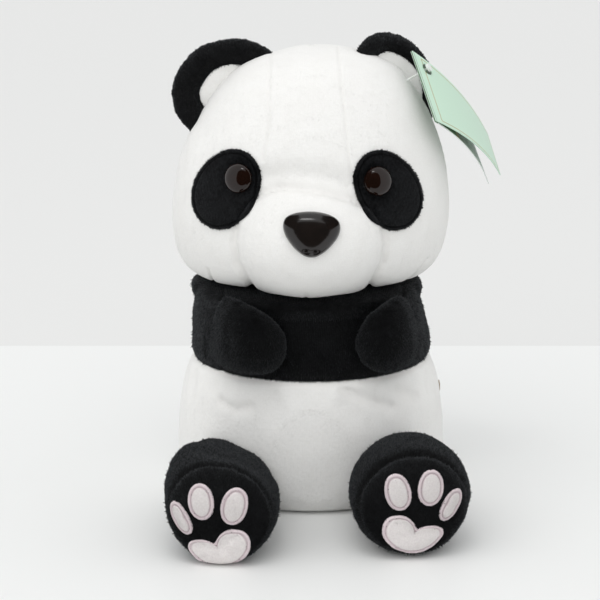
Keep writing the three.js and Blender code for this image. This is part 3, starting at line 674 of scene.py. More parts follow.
# Eye patches: leaning ovals of black very short pile, laid on the cheek and sewn down by a line of
# stitches a little inside the edge.
PATCH_HALF_WIDTH = 16.3 * MM
PATCH_HALF_HEIGHT = 23.5 * MM
PATCH_LEAN = math.radians(33.5)
PATCH_TAPER_SHARE = 0.02
PATCH_THICKNESS = 1.5 * MM
PATCH_STITCH_INSET = 2 * MM
PATCH_PLACES = {"left": (-1, -46.2, 179.9), "right": (1, 41.25, 180.1)}
PATCH_PILE = 0.35 * MM
PATCH_FRINGE = 1.1 * MM
EYE_DENT_DEPTH = 1.3 * MM
EYE_DENT_RADIUS = 9.6 * MM
EYE_DENT_WIDTH = 1.6 * MM
EYE_MIDDLES = {"left": (-38.9, 187), "right": (35.1, 185.9)}
PATCH_STEPS = 84
PATCH_FILL_SHARE = 0.2
PATCH_PLUSH = (0.015, 0.016, 0.018)
# Painted shade deep in the patch pile, at the tufts' roots
PATCH_ROOT_SHADE = (0.0015, 0.0015, 0.002)
STITCH_DEPTH = 0.5 * MM
STITCH_WIDTH = 0.45 * MM
RIM_THICKNESS_SHARE = 0.5
CAST_REACH = 0.1


def even_disc(steps):
    """A disc of radius 1 in the front view's plane, facing the front, with faces of about one size."""
    bm = bmesh.new()
    bmesh.ops.create_grid(bm, x_segments=steps, y_segments=steps, size=1)
    for vert in bm.verts:
        across, up = vert.co.x, vert.co.y
        vert.co = (across * math.sqrt(1 - up * up / 2), 0, up * math.sqrt(1 - across * across / 2))
    bm.normal_update()
    bm.faces.ensure_lookup_table()
    if bm.faces[0].normal.y > 0:
        bmesh.ops.reverse_faces(bm, faces=bm.faces)
    return bm


def sewn_patch(name, outline, surface, place, thickness, inset, dome, steps):
    """A patch laid on stuffed cloth from the front of place's own frame. Its edge is turned down, a line
    of stitches sinks in at the inset, and the cloth swells by dome inside it. outline gives the edge, in
    metres across and up, for a share of the way round."""
    bm = even_disc(steps)
    inset_layer = bm.verts.layers.float.new("inset")
    seam_layer = bm.verts.layers.float.new("seam")
    points = [Vector(outline(step / steps)) for step in range(steps)]
    middle = sum(points, Vector((0, 0))) / steps
    forward = place.to_3x3() @ Vector((0, 1, 0))
    for vert in bm.verts:
        out = math.hypot(vert.co.x, vert.co.z)
        turn = math.atan2(vert.co.z, vert.co.x) / (2 * math.pi) % 1
        edge = Vector(outline(turn))
        flat = middle.lerp(edge, out)
        start = place @ Vector((flat.x, 0, flat.y)) - forward * CAST_REACH
        hit, normal, _, _ = surface.ray_cast(start, forward)
        if hit is None:
            hit, normal, _, _ = surface.find_nearest(start + forward * CAST_REACH)
        from_edge = (1 - out) * (edge - middle).length
        rim = min(1, max(0, from_edge / (RIM_THICKNESS_SHARE * thickness)))
        sunk = math.exp(-((from_edge - inset) / STITCH_WIDTH) ** 2)
        crown = 0
        if from_edge > inset:
            stitches_at = 1 - inset / (edge - middle).length
            crown = dome * (1 - min(1, out / stitches_at) ** 2)
        vert.co = hit + normal * (thickness * math.sqrt(rim) - STITCH_DEPTH * sunk + crown)
        vert[inset_layer] = from_edge / MM
        # The seam mark paints shade along the sunk stitches; on the pads it also gives the stitches their
        # thread colour.
        vert[seam_layer] = sunk
    border = [edge for edge in bm.edges if edge.is_boundary]
    turned = bmesh.ops.extrude_edge_only(bm, edges=border)
    for vert in [item for item in turned["geom"] if isinstance(item, bmesh.types.BMVert)]:
        vert.co += forward * thickness
    return new_object(name, bm)


def egg(side_sign, across, up):
    """The edge of an eye patch about its middle: an oval that leans inwards at the top."""
    def outline(share):
        angle = share * 2 * math.pi
        out = PATCH_HALF_WIDTH * math.cos(angle) * (1 - PATCH_TAPER_SHARE * math.sin(angle))
        rise = PATCH_HALF_HEIGHT * math.sin(angle)
        lean = side_sign * PATCH_LEAN
        return (across + out * math.cos(lean) - rise * math.sin(lean),
                up + out * math.sin(lean) + rise * math.cos(lean))
    return outline


patch_plush = plush_material("patch_plush", tip=PATCH_PLUSH, root=PATCH_ROOT_SHADE, fibre_scale=800,
                             mottle_scale=130, mottle=0.9, bump=1, sheen=0.05,
                             sheen_tint=(0.7, 0.75, 0.8), roughness=0.7)
for side, (side_sign, across, up) in PATCH_PLACES.items():
    outline = egg(side_sign, across * MM, up * MM)
    patch = sewn_patch(f"eye_patch_{side}_cloth", outline, head_surface, Matrix(), PATCH_THICKNESS,
                       PATCH_STITCH_INSET, 0, PATCH_STEPS)
    from_eye = np.linalg.norm(points_of(patch.data)[:, [0, 2]] - np.array(EYE_MIDDLES[side]) * MM, axis=1)
    press_in(patch, 1 / (1 + np.exp((from_eye - EYE_DENT_RADIUS) / (EYE_DENT_WIDTH / 2))), EYE_DENT_DEPTH)
    grow_pile(patch, PATCH_PILE, comb_down, PATCH_PILE / 2, seed=31, fringe=PATCH_FRINGE)
    dress(patch, patch_plush, "torso", "black_plush", PATCH_FILL_SHARE, f"eye_patch_{side}")


# Eyes: polished dark plastic domes, moulded in one piece with a shank that goes through the patch and
# the cheek. A washer inside the head holds each one.
EYE_RADIUS = 8 * MM
EYE_DOME = 4.4 * MM
EYE_SEAT = 1.8 * MM
EYE_EDGE = 1.2 * MM
EYE_SHANK_RADIUS = 2 * MM
EYE_SHANK_LENGTH = 13 * MM
EYE_TILT = math.radians(-9)
EYE_PLACES = {
    "left": (Vector((-38.9, -57.39, 187)) * MM, math.radians(-27.96)),
    "right": (Vector((35.1, -59.57, 185.9)) * MM, math.radians(24.77)),
}
EYE_BROWN = (0.006, 0.003, 0.002)
EYE_STEPS = 14
EYE_SIDES = 64


def gloss_plastic(name, colour, roughness, ior):
    """Polished moulded plastic, with faint wear that blurs the gloss here and there."""
    material, tree, shader = new_material(name)
    wear = texture(tree, "Noise", {"Scale": 220, "Detail": 5})
    worn = (colour[0] * 2, colour[1] * 1.4, colour[2] * 1.2, 1)
    set_inputs(shader, {
        "Base Color": mix_colours(tree, wear, (*colour, 1), worn), "IOR": ior,
        "Roughness": map_range(tree, wear, {"To Min": roughness, "To Max": roughness * 2.4}),
    })
    return material


eye_plastic = gloss_plastic("eye_plastic", EYE_BROWN, roughness=0.03, ior=1.5)
for side, (place, turn) in EYE_PLACES.items():
    profile = []
    for step in range(EYE_STEPS + 1):
        angle = step / EYE_STEPS * math.pi / 2
        profile.append((EYE_RADIUS * math.sin(angle), -EYE_SEAT - EYE_DOME * math.cos(angle)))
    profile += [
        (EYE_RADIUS, -EYE_SEAT + EYE_EDGE), (EYE_SHANK_RADIUS, -EYE_SEAT + EYE_EDGE),
        (EYE_SHANK_RADIUS, EYE_SHANK_LENGTH), (0, EYE_SHANK_LENGTH),
    ]
    bm = spin_profile(profile, EYE_SIDES)
    facing = Matrix.Rotation(turn, 4, "Z") @ Matrix.Rotation(EYE_TILT, 4, "X")
    bmesh.ops.transform(bm, verts=bm.verts, matrix=Matrix.Translation(place) @ facing)
    eye = new_object(f"eye_{side}_dome", bm)
    eye.data.shade_smooth()
    eye.data.materials.append(eye_plastic)
    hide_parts(f"eye_{side}")
    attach(eye, "torso")


# Nose: one polished dark plastic moulding, a rounded triangle that swells forward, with two small
# nostril dents low down and a shank into the muzzle.
NOSE_PLACE = Vector((0, -82.68, 161.5)) * MM
NOSE_TILT = math.radians(-16)
NOSE_ROLL = math.radians(3)
NOSE_BULGE = 8.5 * MM
NOSE_BACK = 3 * MM
NOSE_SHANK_RADIUS = 2.5 * MM
NOSE_SHANK_LENGTH = 15 * MM
NOSE_BLACK = (0.006, 0.0055, 0.005)
# How fast the nose's edge, front and back round off: under 1 is fuller than a ball
NOSE_EDGE_POWER = 0.85
NOSE_FRONT_POWER = 0.9
NOSE_BACK_POWER = 0.8
NOSE_SEGMENTS = 192
NOSE_BANDS = 128
# Edge of the nose from its middle, in millimetres across and up
NOSE_OUTLINE = [
    (15, 4.2), (13.6, 8.2), (9.3, 10.8), (3.2, 12.1), (-3.2, 12.1), (-9.6, 10.9), (-14.2, 8.4),
    (-15.6, 4.2), (-14.4, -0.6), (-11.2, -5.4), (-7, -9.5), (-2.4, -12), (2.4, -12), (7, -9.3),
    (11, -5.2), (14, -0.4),
]
NOSTRILS = [(-2.4, -9.3), (2.2, -9.3)]
NOSTRIL_HALF_WIDTH = 1.2 * MM
NOSTRIL_HALF_HEIGHT = 0.5 * MM
NOSTRIL_DEPTH = 1.5 * MM


def smooth_loop(points, share):
    """A point on the smooth closed curve through the points, for a share of the way round."""
    at = share * len(points)
    first = int(at) % len(points)
    along = at - int(at)
    a, b, c, d = (Vector(points[(first + step) % len(points)]) for step in (-1, 0, 1, 2))
    return (b * 2 + (c - a) * along + (a * 2 - b * 5 + c * 4 - d) * along ** 2
            + (b * 3 - a - c * 3 + d) * along ** 3) / 2


nose_start = math.atan2(NOSE_OUTLINE[0][1], NOSE_OUTLINE[0][0])
nose_edge = [smooth_loop(NOSE_OUTLINE, step / NOSE_SEGMENTS) for step in range(NOSE_SEGMENTS)]
nose_turns = [(math.atan2(point.y, point.x) - nose_start) % (2 * math.pi) for point in nose_edge]
nose_turns[0] = 0


def nose_reach(angle):
    """How far the nose's edge is from its middle in a direction."""
    turn = (angle - nose_start) % (2 * math.pi)
    return float(np.interp(turn, nose_turns + [2 * math.pi],
                           [point.length for point in nose_edge] + [nose_edge[0].length])) * MM


bm = bmesh.new()
bmesh.ops.create_uvsphere(bm, u_segments=NOSE_SEGMENTS, v_segments=NOSE_BANDS, radius=1)
bmesh.ops.rotate(bm, verts=bm.verts, cent=(0, 0, 0), matrix=Matrix.Rotation(math.pi / 2, 3, "X"))
for vert in bm.verts:
    out = math.hypot(vert.co.x, vert.co.z)
    angle = math.atan2(vert.co.z, vert.co.x)
    reach = nose_reach(angle) * out ** NOSE_EDGE_POWER
    deep = -vert.co.y
    forward = NOSE_BULGE * max(0, deep) ** NOSE_FRONT_POWER - NOSE_BACK * max(0, -deep) ** NOSE_BACK_POWER
    vert.co = Vector((reach * math.cos(angle), -forward, reach * math.sin(angle)))
bmesh.ops.recalc_face_normals(bm, faces=bm.faces)
bm.normal_update()
for vert in bm.verts:
    for across, up in NOSTRILS:
        aside = (vert.co.x - across * MM) / NOSTRIL_HALF_WIDTH
        above = (vert.co.z - up * MM) / NOSTRIL_HALF_HEIGHT
        gap = math.hypot(aside, above)
        if vert.co.y < 0:
            vert.co -= vert.normal * (NOSTRIL_DEPTH * math.exp(-gap ** 2))
shank = bmesh.ops.create_cone(bm, cap_ends=True, segments=24, radius1=NOSE_SHANK_RADIUS,
                              radius2=NOSE_SHANK_RADIUS, depth=NOSE_SHANK_LENGTH)
bmesh.ops.rotate(bm, verts=shank["verts"], cent=(0, 0, 0), matrix=Matrix.Rotation(math.pi / 2, 3, "X"))
bmesh.ops.translate(bm, verts=shank["verts"], vec=(0, NOSE_SHANK_LENGTH / 2, 0))
nose_facing = Matrix.Rotation(NOSE_TILT, 4, "X") @ Matrix.Rotation(NOSE_ROLL, 4, "Y")
bmesh.ops.transform(bm, verts=bm.verts, matrix=Matrix.Translation(NOSE_PLACE) @ nose_facing)
nose = new_object("nose_plastic", bm)
nose.data.shade_smooth()
nose.data.materials.append(gloss_plastic("nose_plastic", NOSE_BLACK, roughness=0.1, ior=1.6))
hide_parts("nose")
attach(nose, "torso")


# Body skin: a white belly sewn to a black chest band, each with a front and a back panel, over one
# stuffed form that stands on a flat base panel.
BODY_NODES = ["chest_front", "chest_back", "belly_front", "belly_back", "base_panel", "body_stuffing"]
BODY_VOXEL = 5 * MM
BAND_HEIGHT = 75.5 * MM
BODY_TOP = 119.5 * MM
BODY_HELD_WIDTH = 4 * MM
BODY_HELD_TOP = 4 * MM
BODY_HELD_BASE = 5 * MM
BODY_HELD_FADE = 3 * MM
BODY_GROWTH_SHARE = 0.02
BODY_SWELL_LIMIT = 2 * MM
BODY_UNEVEN_SIZE = 22 * MM
BODY_UNEVEN_DEPTH = 0.5 * MM
BODY_FILL_SHARE = 0.8
BODY_SEAM_DEPTH = 1.6 * MM
BODY_SEAM_WIDTH = 2.4 * MM
SIDE_SEAM_DEPTH = 0.8 * MM
SIDE_SEAM_WIDTH = 1.2 * MM
ARM_SEAMS = {"left": -49 * MM, "right": 51.2 * MM}
SEAM_ALLOWANCE = 3 * MM
CHEST_SHIFT = -3 * MM
CHEST_NARROWING_SHARE = 0.016
CHEST_NARROWING_HEIGHT = 60 * MM
CHEST_SHIFT_HEIGHT = 85 * MM
NECK_FLARE = 8 * MM
NECK_FLARE_HEIGHT = 109 * MM
FOOT_FLARE = 7 * MM
FOOT_FLARE_HEIGHT = 34 * MM
FLARE_MIDDLE_RADIUS = 20 * MM
CREASE_DEPTH = 1.2 * MM
CREASE_WIDTH = 3 * MM
PILE_ABOVE_FLOOR = 0.05 * MM
# Creases that the stuffing leaves in the belly, in the front view
BELLY_CREASES = {
    "right": [(18, 71), (30, 65), (45, 58)],
    "left": [(-50, 60), (-42, 57), (-34, 60)],
    "right_low": [(48, 66), (58, 60)],
}


def body_held(points):
    band = np.exp(-((points[:, 2] - BAND_HEIGHT) / BODY_HELD_WIDTH) ** 2)
    top = np.clip((points[:, 2] - BODY_TOP + BODY_HELD_TOP) / BODY_HELD_FADE, 0, 1)
    base = np.clip((BODY_HELD_BASE - points[:, 2]) / BODY_HELD_FADE, 0, 1)
    return np.maximum(band, np.maximum(top, base))


def cut_piece(source, name, height, side):
    """Copies the part of a form above a height, or below it where side is -1, and turns the cut edge in."""
    bm = bmesh.new()
    bm.from_mesh(source.data)
    bmesh.ops.bisect_plane(bm, geom=bm.verts[:] + bm.edges[:] + bm.faces[:], plane_co=(0, 0, height),
                           plane_no=(0, 0, -side), clear_outer=True)
    bm.normal_update()
    border = [edge for edge in bm.edges if edge.is_boundary]
    inward = {vert: vert.normal.copy() for edge in border for vert in edge.verts}
    turned = bmesh.ops.extrude_edge_only(bm, edges=border)
    starts = {tuple(vert.co): normal for vert, normal in inward.items()}
    for vert in [item for item in turned["geom"] if isinstance(item, bmesh.types.BMVert)]:
        vert.co -= starts[tuple(vert.co)] * SEAM_ALLOWANCE
    return new_object(name, bm)


body = cloth_form("body_form", BODY_NODES, BODY_VOXEL, rounding=8)
stuff(body, body_held, BODY_GROWTH_SHARE, BODY_SWELL_LIMIT)
subdivide(body, 2)
uneven(body, BODY_UNEVEN_SIZE, BODY_UNEVEN_DEPTH, seed=7)
body_points = points_of(body.data)
to_neck = np.clip((body_points[:, 2] - CHEST_SHIFT_HEIGHT) / (BODY_TOP - CHEST_SHIFT_HEIGHT), 0, 1)
narrowing_run = BAND_HEIGHT - CHEST_NARROWING_HEIGHT
in_chest = np.clip((body_points[:, 2] - CHEST_NARROWING_HEIGHT) / narrowing_run, 0, 1)
body_points[:, 0] *= 1 - CHEST_NARROWING_SHARE * in_chest
body_points[:, 0] += CHEST_SHIFT * to_neck
in_flare = np.clip((body_points[:, 2] - NECK_FLARE_HEIGHT) / (BODY_TOP - NECK_FLARE_HEIGHT), 0, 1)
in_sag = np.clip(1 - body_points[:, 2] / FOOT_FLARE_HEIGHT, 0, 1)
from_middle = np.linalg.norm(body_points[:, :2], axis=1)
outward = body_points[:, :2] / np.maximum(from_middle, FLARE_MIDDLE_RADIUS)[:, None]
body_points[:, :2] += outward * (NECK_FLARE * in_flare + FOOT_FLARE * in_sag ** 2)[:, None]
set_points(body.data, body_points)
press_seam(body, np.abs(body_points[:, 2] - BAND_HEIGHT), BODY_SEAM_DEPTH, BODY_SEAM_WIDTH)
for line in BELLY_CREASES.values():
    press_front_line(body, line, CREASE_DEPTH, CREASE_WIDTH)
body_points = points_of(body.data)
for seam_x in ARM_SEAMS.values():
    on_chest = (body_points[:, 1] < 0) & (body_points[:, 2] > BAND_HEIGHT)
    press_seam(body, np.where(on_chest, np.abs(body_points[:, 0] - seam_x), np.inf), SIDE_SEAM_DEPTH,
               SIDE_SEAM_WIDTH)
on_belly = body_points[:, 2] < BAND_HEIGHT
press_seam(body, np.where(on_belly, np.abs(body_points[:, 1]), np.inf), SIDE_SEAM_DEPTH, SIDE_SEAM_WIDTH)
chest = cut_piece(body, "chest_band", BAND_HEIGHT, 1)
belly = cut_piece(body, "belly_skin", BAND_HEIGHT, -1)
bpy.data.objects.remove(body)
grow_pile(chest, BLACK_PILE_HEIGHT, comb_down, BLACK_PILE_SCATTER, seed=41)
grow_pile(belly, WHITE_PILE_HEIGHT, comb_down, WHITE_PILE_SCATTER, seed=43, lowest=PILE_ABOVE_FLOOR)
dress(chest, black_plush, "torso", "black_plush", BODY_FILL_SHARE, "chest_front", "chest_back")
dress(belly, white_plush, "torso", "white_plush", BODY_FILL_SHARE, "belly_front", "belly_back", "base_panel",
      "body_stuffing")


# Side tab: a folded end of woven ribbon, bare on both faces. It is caught in the body's right side seam
# as the front and back panels are sewn together, so that only its edge stands out.
RIBBON_DARK = (0.33, 0.27, 0.2)
RIBBON_LIGHT = (0.5, 0.42, 0.33)
WEAVE_DEPTH = 0.1 * MM


def ribbon_material():
    material, tree, shader = new_material("ribbon")
    weave = texture(tree, "Wave", {"Scale": 700})
    set_inputs(shader, {
        "Base Color": mix_colours(tree, weave, (*RIBBON_DARK, 1), (*RIBBON_LIGHT, 1)), "Roughness": 0.8,
        "Normal": add_node(tree, "Bump", {"Distance": WEAVE_DEPTH, "Height": weave})["Normal"],
    })
    return material


def give_material(node_name, material):
    mesh = nodes[node_name].data
    mesh.materials.clear()
    mesh.materials.append(material)


give_material("side_tab", ribbon_material())


# Arms: short stuffed flaps of black plush that lie across the chest. Each is sewn flat at its root into
# the chest's side seam, and lifts on that seam as on a hinge.
ARM_VOXEL = 3.2 * MM
ARM_HELD_WIDTH = 8 * MM
ARM_GROWTH_SHARE = 0.02
ARM_SWELL_LIMIT = 1 * MM
ARM_UNEVEN_SIZE = 10 * MM
ARM_UNEVEN_DEPTH = 0.5 * MM
ARM_FILL_SHARE = 0.7
for side in ["left", "right"]:
    arm_nodes = [f"arm_skin_{side}", f"arm_stuffing_{side}"]
    arm = cloth_form(f"arm_{side}_plush", arm_nodes, ARM_VOXEL, rounding=3)
    root_x = ARM_SEAMS[side]

    def arm_held(points):
        return np.clip(1 - np.abs(points[:, 0] - root_x) / ARM_HELD_WIDTH, 0, 1)

    stuff(arm, arm_held, ARM_GROWTH_SHARE, ARM_SWELL_LIMIT)
    subdivide(arm, 2)
    uneven(arm, ARM_UNEVEN_SIZE, ARM_UNEVEN_DEPTH, seed=9)
    grow_pile(arm, BLACK_PILE_HEIGHT, comb_down, BLACK_PILE_SCATTER, seed=51)
    dress(arm, black_plush, f"arm_{side}", "black_plush", ARM_FILL_SHARE, *arm_nodes)


# Legs: stuffed legs of black plush that lie on the floor, each closed in front by a sole panel. The seam
# of the sole draws in deeply over the toes and fades down the sides.
LEG_VOXEL = 4 * MM
LEG_ROOT_HELD = 14 * MM
LEG_ROOT_FADE = 8 * MM
LEG_UNDER_HELD = 3 * MM
LEG_UNDER_FADE = 2 * MM
LEG_GROWTH_SHARE = 0.01
LEG_SWELL_LIMIT = 1.2 * MM
LEG_UNEVEN_SIZE = 14 * MM
LEG_UNEVEN_DEPTH = 0.6 * MM
LEG_FILL_SHARE = 0.8
LEG_SPLAY = math.radians(8.3)
LEG_HEIGHT_SHARE = 0.92
SOLE_RADIUS_SHARE = 0.9
SOLE_SEAM_Y = 10 * MM
SOLE_SEAM_DEPTH = 2.6 * MM
SOLE_SEAM_WIDTH = 2.6 * MM
SOLE_MIDDLE_RADIUS = 1 * MM
# The sole's seam is deepest over the toes and fades to its least share below
SEAM_FADE_START_SHARE = -0.15
SEAM_FADE_RUN_SHARE = 0.75
SEAM_LEAST_SHARE = 0.12
SAG_EDGE_SHARE = 0.6
LEGS = {
    "left": {"sign": -1, "radius": 30.5 * MM, "place": Vector((-50.3, -152, 27.56)) * MM, "pad_drop": 1.6,
             "toe_out": 11 * MM, "lean_out": -9 * MM, "sag": 7 * MM, "outer_share": 0.93},
    "right": {"sign": 1, "radius": 31.6 * MM, "place": Vector((54.6, -142, 28.57)) * MM, "pad_drop": -1.6,
              "toe_out": 4 * MM, "lean_out": 2.5 * MM, "sag": 0, "outer_share": 0.97},
}
LEG_SAG_START = 4 * MM
LEG_SAG_LENGTH = 36 * MM
SOLE_FRONT_LENGTH = 40 * MM
leg_surfaces = {}
leg_places = {}
for side, leg in LEGS.items():
    place = Matrix.Translation(leg["place"]) @ Matrix.Rotation(leg["sign"] * LEG_SPLAY, 4, "Z")
    leg_nodes = [f"leg_skin_{side}", f"sole_{side}", f"leg_stuffing_{side}"]
    skin = cloth_form(f"leg_{side}_plush", leg_nodes, LEG_VOXEL, rounding=2)
    root_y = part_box(f"leg_skin_{side}")[1].y

    def leg_held(points):
        root = np.clip((points[:, 1] - root_y + LEG_ROOT_HELD) / LEG_ROOT_FADE, 0, 1)
        under = np.clip((LEG_UNDER_HELD - points[:, 2]) / LEG_UNDER_FADE, 0, 1)
        return np.maximum(root, under)

    stuff(skin, leg_held, LEG_GROWTH_SHARE, LEG_SWELL_LIMIT)
    subdivide(skin, 2)
    uneven(skin, LEG_UNEVEN_SIZE, LEG_UNEVEN_DEPTH, seed=13)
    back = np.array(place.inverted())
    points = points_of(skin.data)
    local = points @ back[:3, :3].T + back[:3, 3]
    under = np.clip(-local[:, 2] / leg["radius"], 0, 1)
    in_front = np.clip(1 - local[:, 1] / SOLE_FRONT_LENGTH, 0, 1)
    behind = np.clip((local[:, 1] - LEG_SAG_START) / LEG_SAG_LENGTH, 0, 1)
    behind = behind * behind * (3 - 2 * behind)
    over = np.clip(local[:, 2] / leg["radius"], 0, 1)
    forward = np.minimum(leg["toe_out"] * under ** 2.5 * in_front, np.maximum(local[:, 1], 0))
    points[:, 1] -= forward
    outer = np.maximum(leg["sign"] * local[:, 0], 0)
    points[:, 0] -= leg["sign"] * outer * (1 - leg["outer_share"])
    points[:, 0] += leg["lean_out"] * behind * over
    inner = np.clip(1 - leg["sign"] * local[:, 0] / (SAG_EDGE_SHARE * leg["radius"]), 0, 1)
    points[:, 2] -= leg["sag"] * behind * over * inner
    set_points(skin.data, points)
    round_local = np.hypot(local[:, 0], local[:, 2] / LEG_HEIGHT_SHARE)
    ring = np.hypot(round_local - SOLE_RADIUS_SHARE * leg["radius"], local[:, 1] - SOLE_SEAM_Y)
    upward = np.clip(local[:, 2] / np.maximum(round_local, SOLE_MIDDLE_RADIUS), -1, 1)
    fade = np.clip((upward - SEAM_FADE_START_SHARE) / SEAM_FADE_RUN_SHARE, SEAM_LEAST_SHARE, 1)
    press_seam(skin, ring, SOLE_SEAM_DEPTH * fade, SOLE_SEAM_WIDTH)
    leg_surfaces[side] = bvh_of(skin)
    leg_places[side] = place
    grow_pile(skin, BLACK_PILE_HEIGHT, comb_out, BLACK_PILE_SCATTER, seed=61, lowest=PILE_ABOVE_FLOOR)
    dress(skin, black_plush, None, "black_plush", LEG_FILL_SHARE, *leg_nodes)
    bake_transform(skin)


# Pads: three toe pads and a heart-shaped pad on each sole, of pale short pile with a folded edge held
# by a line of pinkish stitches.
PAD_THICKNESS = 1.5 * MM
PAD_STITCH_INSET = 1.9 * MM
PAD_DOME = 0.9 * MM
PAD_ROLL = math.radians(22)
PAD_PILE = 0.3 * MM
PAD_STEPS = 44
PAD_FILL_SHARE = 0.4
PAD_PLUSH = (0.93, 0.895, 0.88)
# Painted shade deep in the pad pile, at the tufts' roots
PAD_ROOT_SHADE = (0.8, 0.75, 0.745)
PAD_EDGE_COLOUR = (0.8, 0.7, 0.725)
PAD_STITCH_COLOUR = (0.56, 0.43, 0.47)
PAD_EDGE_FADE = 0.4
TOES = [
    {"name": "outer", "outward": 16.8, "up": 5.9, "half_width": 4.6, "half_height": 9.2, "lean": 8},
    {"name": "middle", "outward": 3.1, "up": 11.1, "half_width": 6.9, "half_height": 9.4, "lean": -15},
    {"name": "inner", "outward": -12.2, "up": 3.2, "half_width": 6.8, "half_height": 9.8, "lean": -34},
]
HEART = {"outward": 3.4, "up": -16.75, "half_width": 16.2, "height": 19.5}
HEART_OUTLINE_SHARES = [
    (-0.09, 0.77), (0.15, 0.91), (0.43, 0.98), (0.7, 0.93), (0.93, 0.8), (1, 0.61), (0.95, 0.41),
    (0.81, 0.23), (0.55, 0.09), (0.21, 0.01), (-0.16, 0.03), (-0.5, 0.16), (-0.75, 0.35), (-0.91, 0.57),
    (-1, 0.82), (-0.9, 0.97), (-0.68, 1), (-0.44, 0.95), (-0.26, 0.87),
]


def pad_material():
    """Pale pile inside the stitches, a pinker stitched line, and a folded edge between the two."""
    material = plush_material("pad_plush", tip=PAD_PLUSH, root=PAD_ROOT_SHADE, fibre_scale=1500, mottle_scale=160,
                              mottle=0.5, bump=0.35, sheen=0.15, sheen_tint=(1, 0.95, 0.95), roughness=0.9)
    tree = material.node_tree
    pile = next(node for node in tree.nodes if node.type == "GROUP").outputs["Colour"]
    edge_end = PAD_STITCH_INSET / MM
    edge = map_range(tree, attribute_value(tree, "inset"), {
        "From Min": edge_end - PAD_EDGE_FADE, "From Max": edge_end, "To Min": 1, "To Max": 0,
    })
    folded = mix_colours(tree, edge, pile, (*PAD_EDGE_COLOUR, 1))
    stitches = result_of(tree, "MULTIPLY", attribute_value(tree, "seam"), 0.8)
    stitched = mix_colours(tree, stitches, folded, (*PAD_STITCH_COLOUR, 1))
    set_inputs(tree.nodes["Principled BSDF"], {"Base Color": stitched})
    return material


pad_plush = pad_material()


def on_sole(leg, outward, up):
    """Turns a place on the sole, in millimetres outwards and up, to metres across and up."""
    roll = -leg["sign"] * PAD_ROLL
    flat = leg["sign"] * outward
    return Vector((flat * math.cos(roll) - up * math.sin(roll),
                   flat * math.sin(roll) + up * math.cos(roll) - leg["pad_drop"])) * MM


def toe_outline(leg, toe):
    """The edge of a toe pad: an oval that leans across the sole."""
    lean = math.radians(toe["lean"])

    def outline(share):
        angle = share * 2 * math.pi * leg["sign"]
        out = toe["half_width"] * math.cos(angle)
        up = toe["half_height"] * math.sin(angle)
        return on_sole(leg, toe["outward"] + out * math.cos(lean) + up * math.sin(lean),
                       toe["up"] - out * math.sin(lean) + up * math.cos(lean))
    return outline


def heart_outline(leg):
    """The edge of the heart-shaped pad, from its outline for one foot, turned over for the other."""
    def outline(share):
        point = smooth_loop(HEART_OUTLINE_SHARES, share if leg["sign"] > 0 else 1 - share)
        return on_sole(leg, HEART["outward"] - point.x * HEART["half_width"],
                       HEART["up"] + (point.y - 0.5) * HEART["height"])
    return outline


for side, leg in LEGS.items():
    outlines = {f"toe_pad_{toe['name']}_{side}": toe_outline(leg, toe) for toe in TOES}
    outlines[f"heart_pad_{side}"] = heart_outline(leg)
    for node_name, outline in outlines.items():
        pad = sewn_patch(f"{node_name}_cloth", outline, leg_surfaces[side], leg_places[side], PAD_THICKNESS,
                         PAD_STITCH_INSET, PAD_DOME, PAD_STEPS)
        grow_pile(pad, PAD_PILE, comb_down, PAD_PILE / 2, seed=71, lowest=PILE_ABOVE_FLOOR)
        dress(pad, pad_plush, f"leg_{side}", "pad_plush", PAD_FILL_SHARE, node_name)


# Tag: one folded piece of coated card, pale green with a thin border line. Inside the fold the back leaf
# is painted with shade in bands, darkest green at the fold and paler away from it.
# The cover's hole is wider than the fastener's button, and both leaves are bowed along their length.
CARD_THICKNESS = 0.5 * MM
LEAF_BOW = 9 * MM
LEAF_GAP = 0.3 * MM
FOLD_TOP = Vector((56.02, -10, 250)) * MM
FOLD_RUN = Vector((11.8, -32, -34)) * MM
COVER_TOP = Vector((46, 36, -53)) * MM
COVER_LOW = Vector((39.5, 40, -37.6)) * MM
BACK_TOP = Vector((39, 41, -59)) * MM
BACK_LOW = Vector((34, 44, -43)) * MM
PIN_ALONG_SHARE = 0.1
PIN_DOWN_SHARE = 0.16
COVER_HOLE_RADIUS = 3.6 * MM
COVER_HOLE_SHIFT = 0.6 * MM
BACK_HOLE_RADIUS = 0.95 * MM
FOLD_BORDER = 4 * MM
BANDS_LENGTH = 80
MINT = (0.52, 0.72, 0.57)
GOLD_LINE = (0.42, 0.36, 0.17)
PALE_EDGE = (0.75, 0.8, 0.76)
# Where the border line starts and ends, in millimetres from the leaf's edge
COVER_LINE_INSET = (1.6, 2.2)
BACK_LINE_INSET = (-1, 0.5)
HOLE_NEAR_SHARE = 1.8
CARD_EDGE_ANGLE = math.radians(40)
PAPER_DEPTH = 0.05 * MM
# Where each band of colour starts, in millimetres from the fold
COVER_BANDS = [(0, (0.8, 0.84, 0.8)), (0.5, (0.12, 0.26, 0.16)), (1.1, MINT), (80, MINT)]
# On the back leaf, which faces the cover inside the fold, the bands darken towards the fold as painted
# shade.
BACK_SHADE_BANDS = [(0, (0.05, 0.16, 0.05)), (24, (0.05, 0.17, 0.05)), (26, (0.42, 0.26, 0.08)),
              (28, (0.16, 0.22, 0.14)), (33, (0.3, 0.36, 0.31)), (46, (0.42, 0.5, 0.44)),
              (80, (0.5, 0.6, 0.52))]
LEAF_STEPS_ALONG = 90
LEAF_STEPS_DOWN = 56
tag_outward = FOLD_RUN.cross(COVER_TOP).normalized()
pin = FOLD_TOP + COVER_TOP * PIN_ALONG_SHARE + FOLD_RUN * PIN_DOWN_SHARE


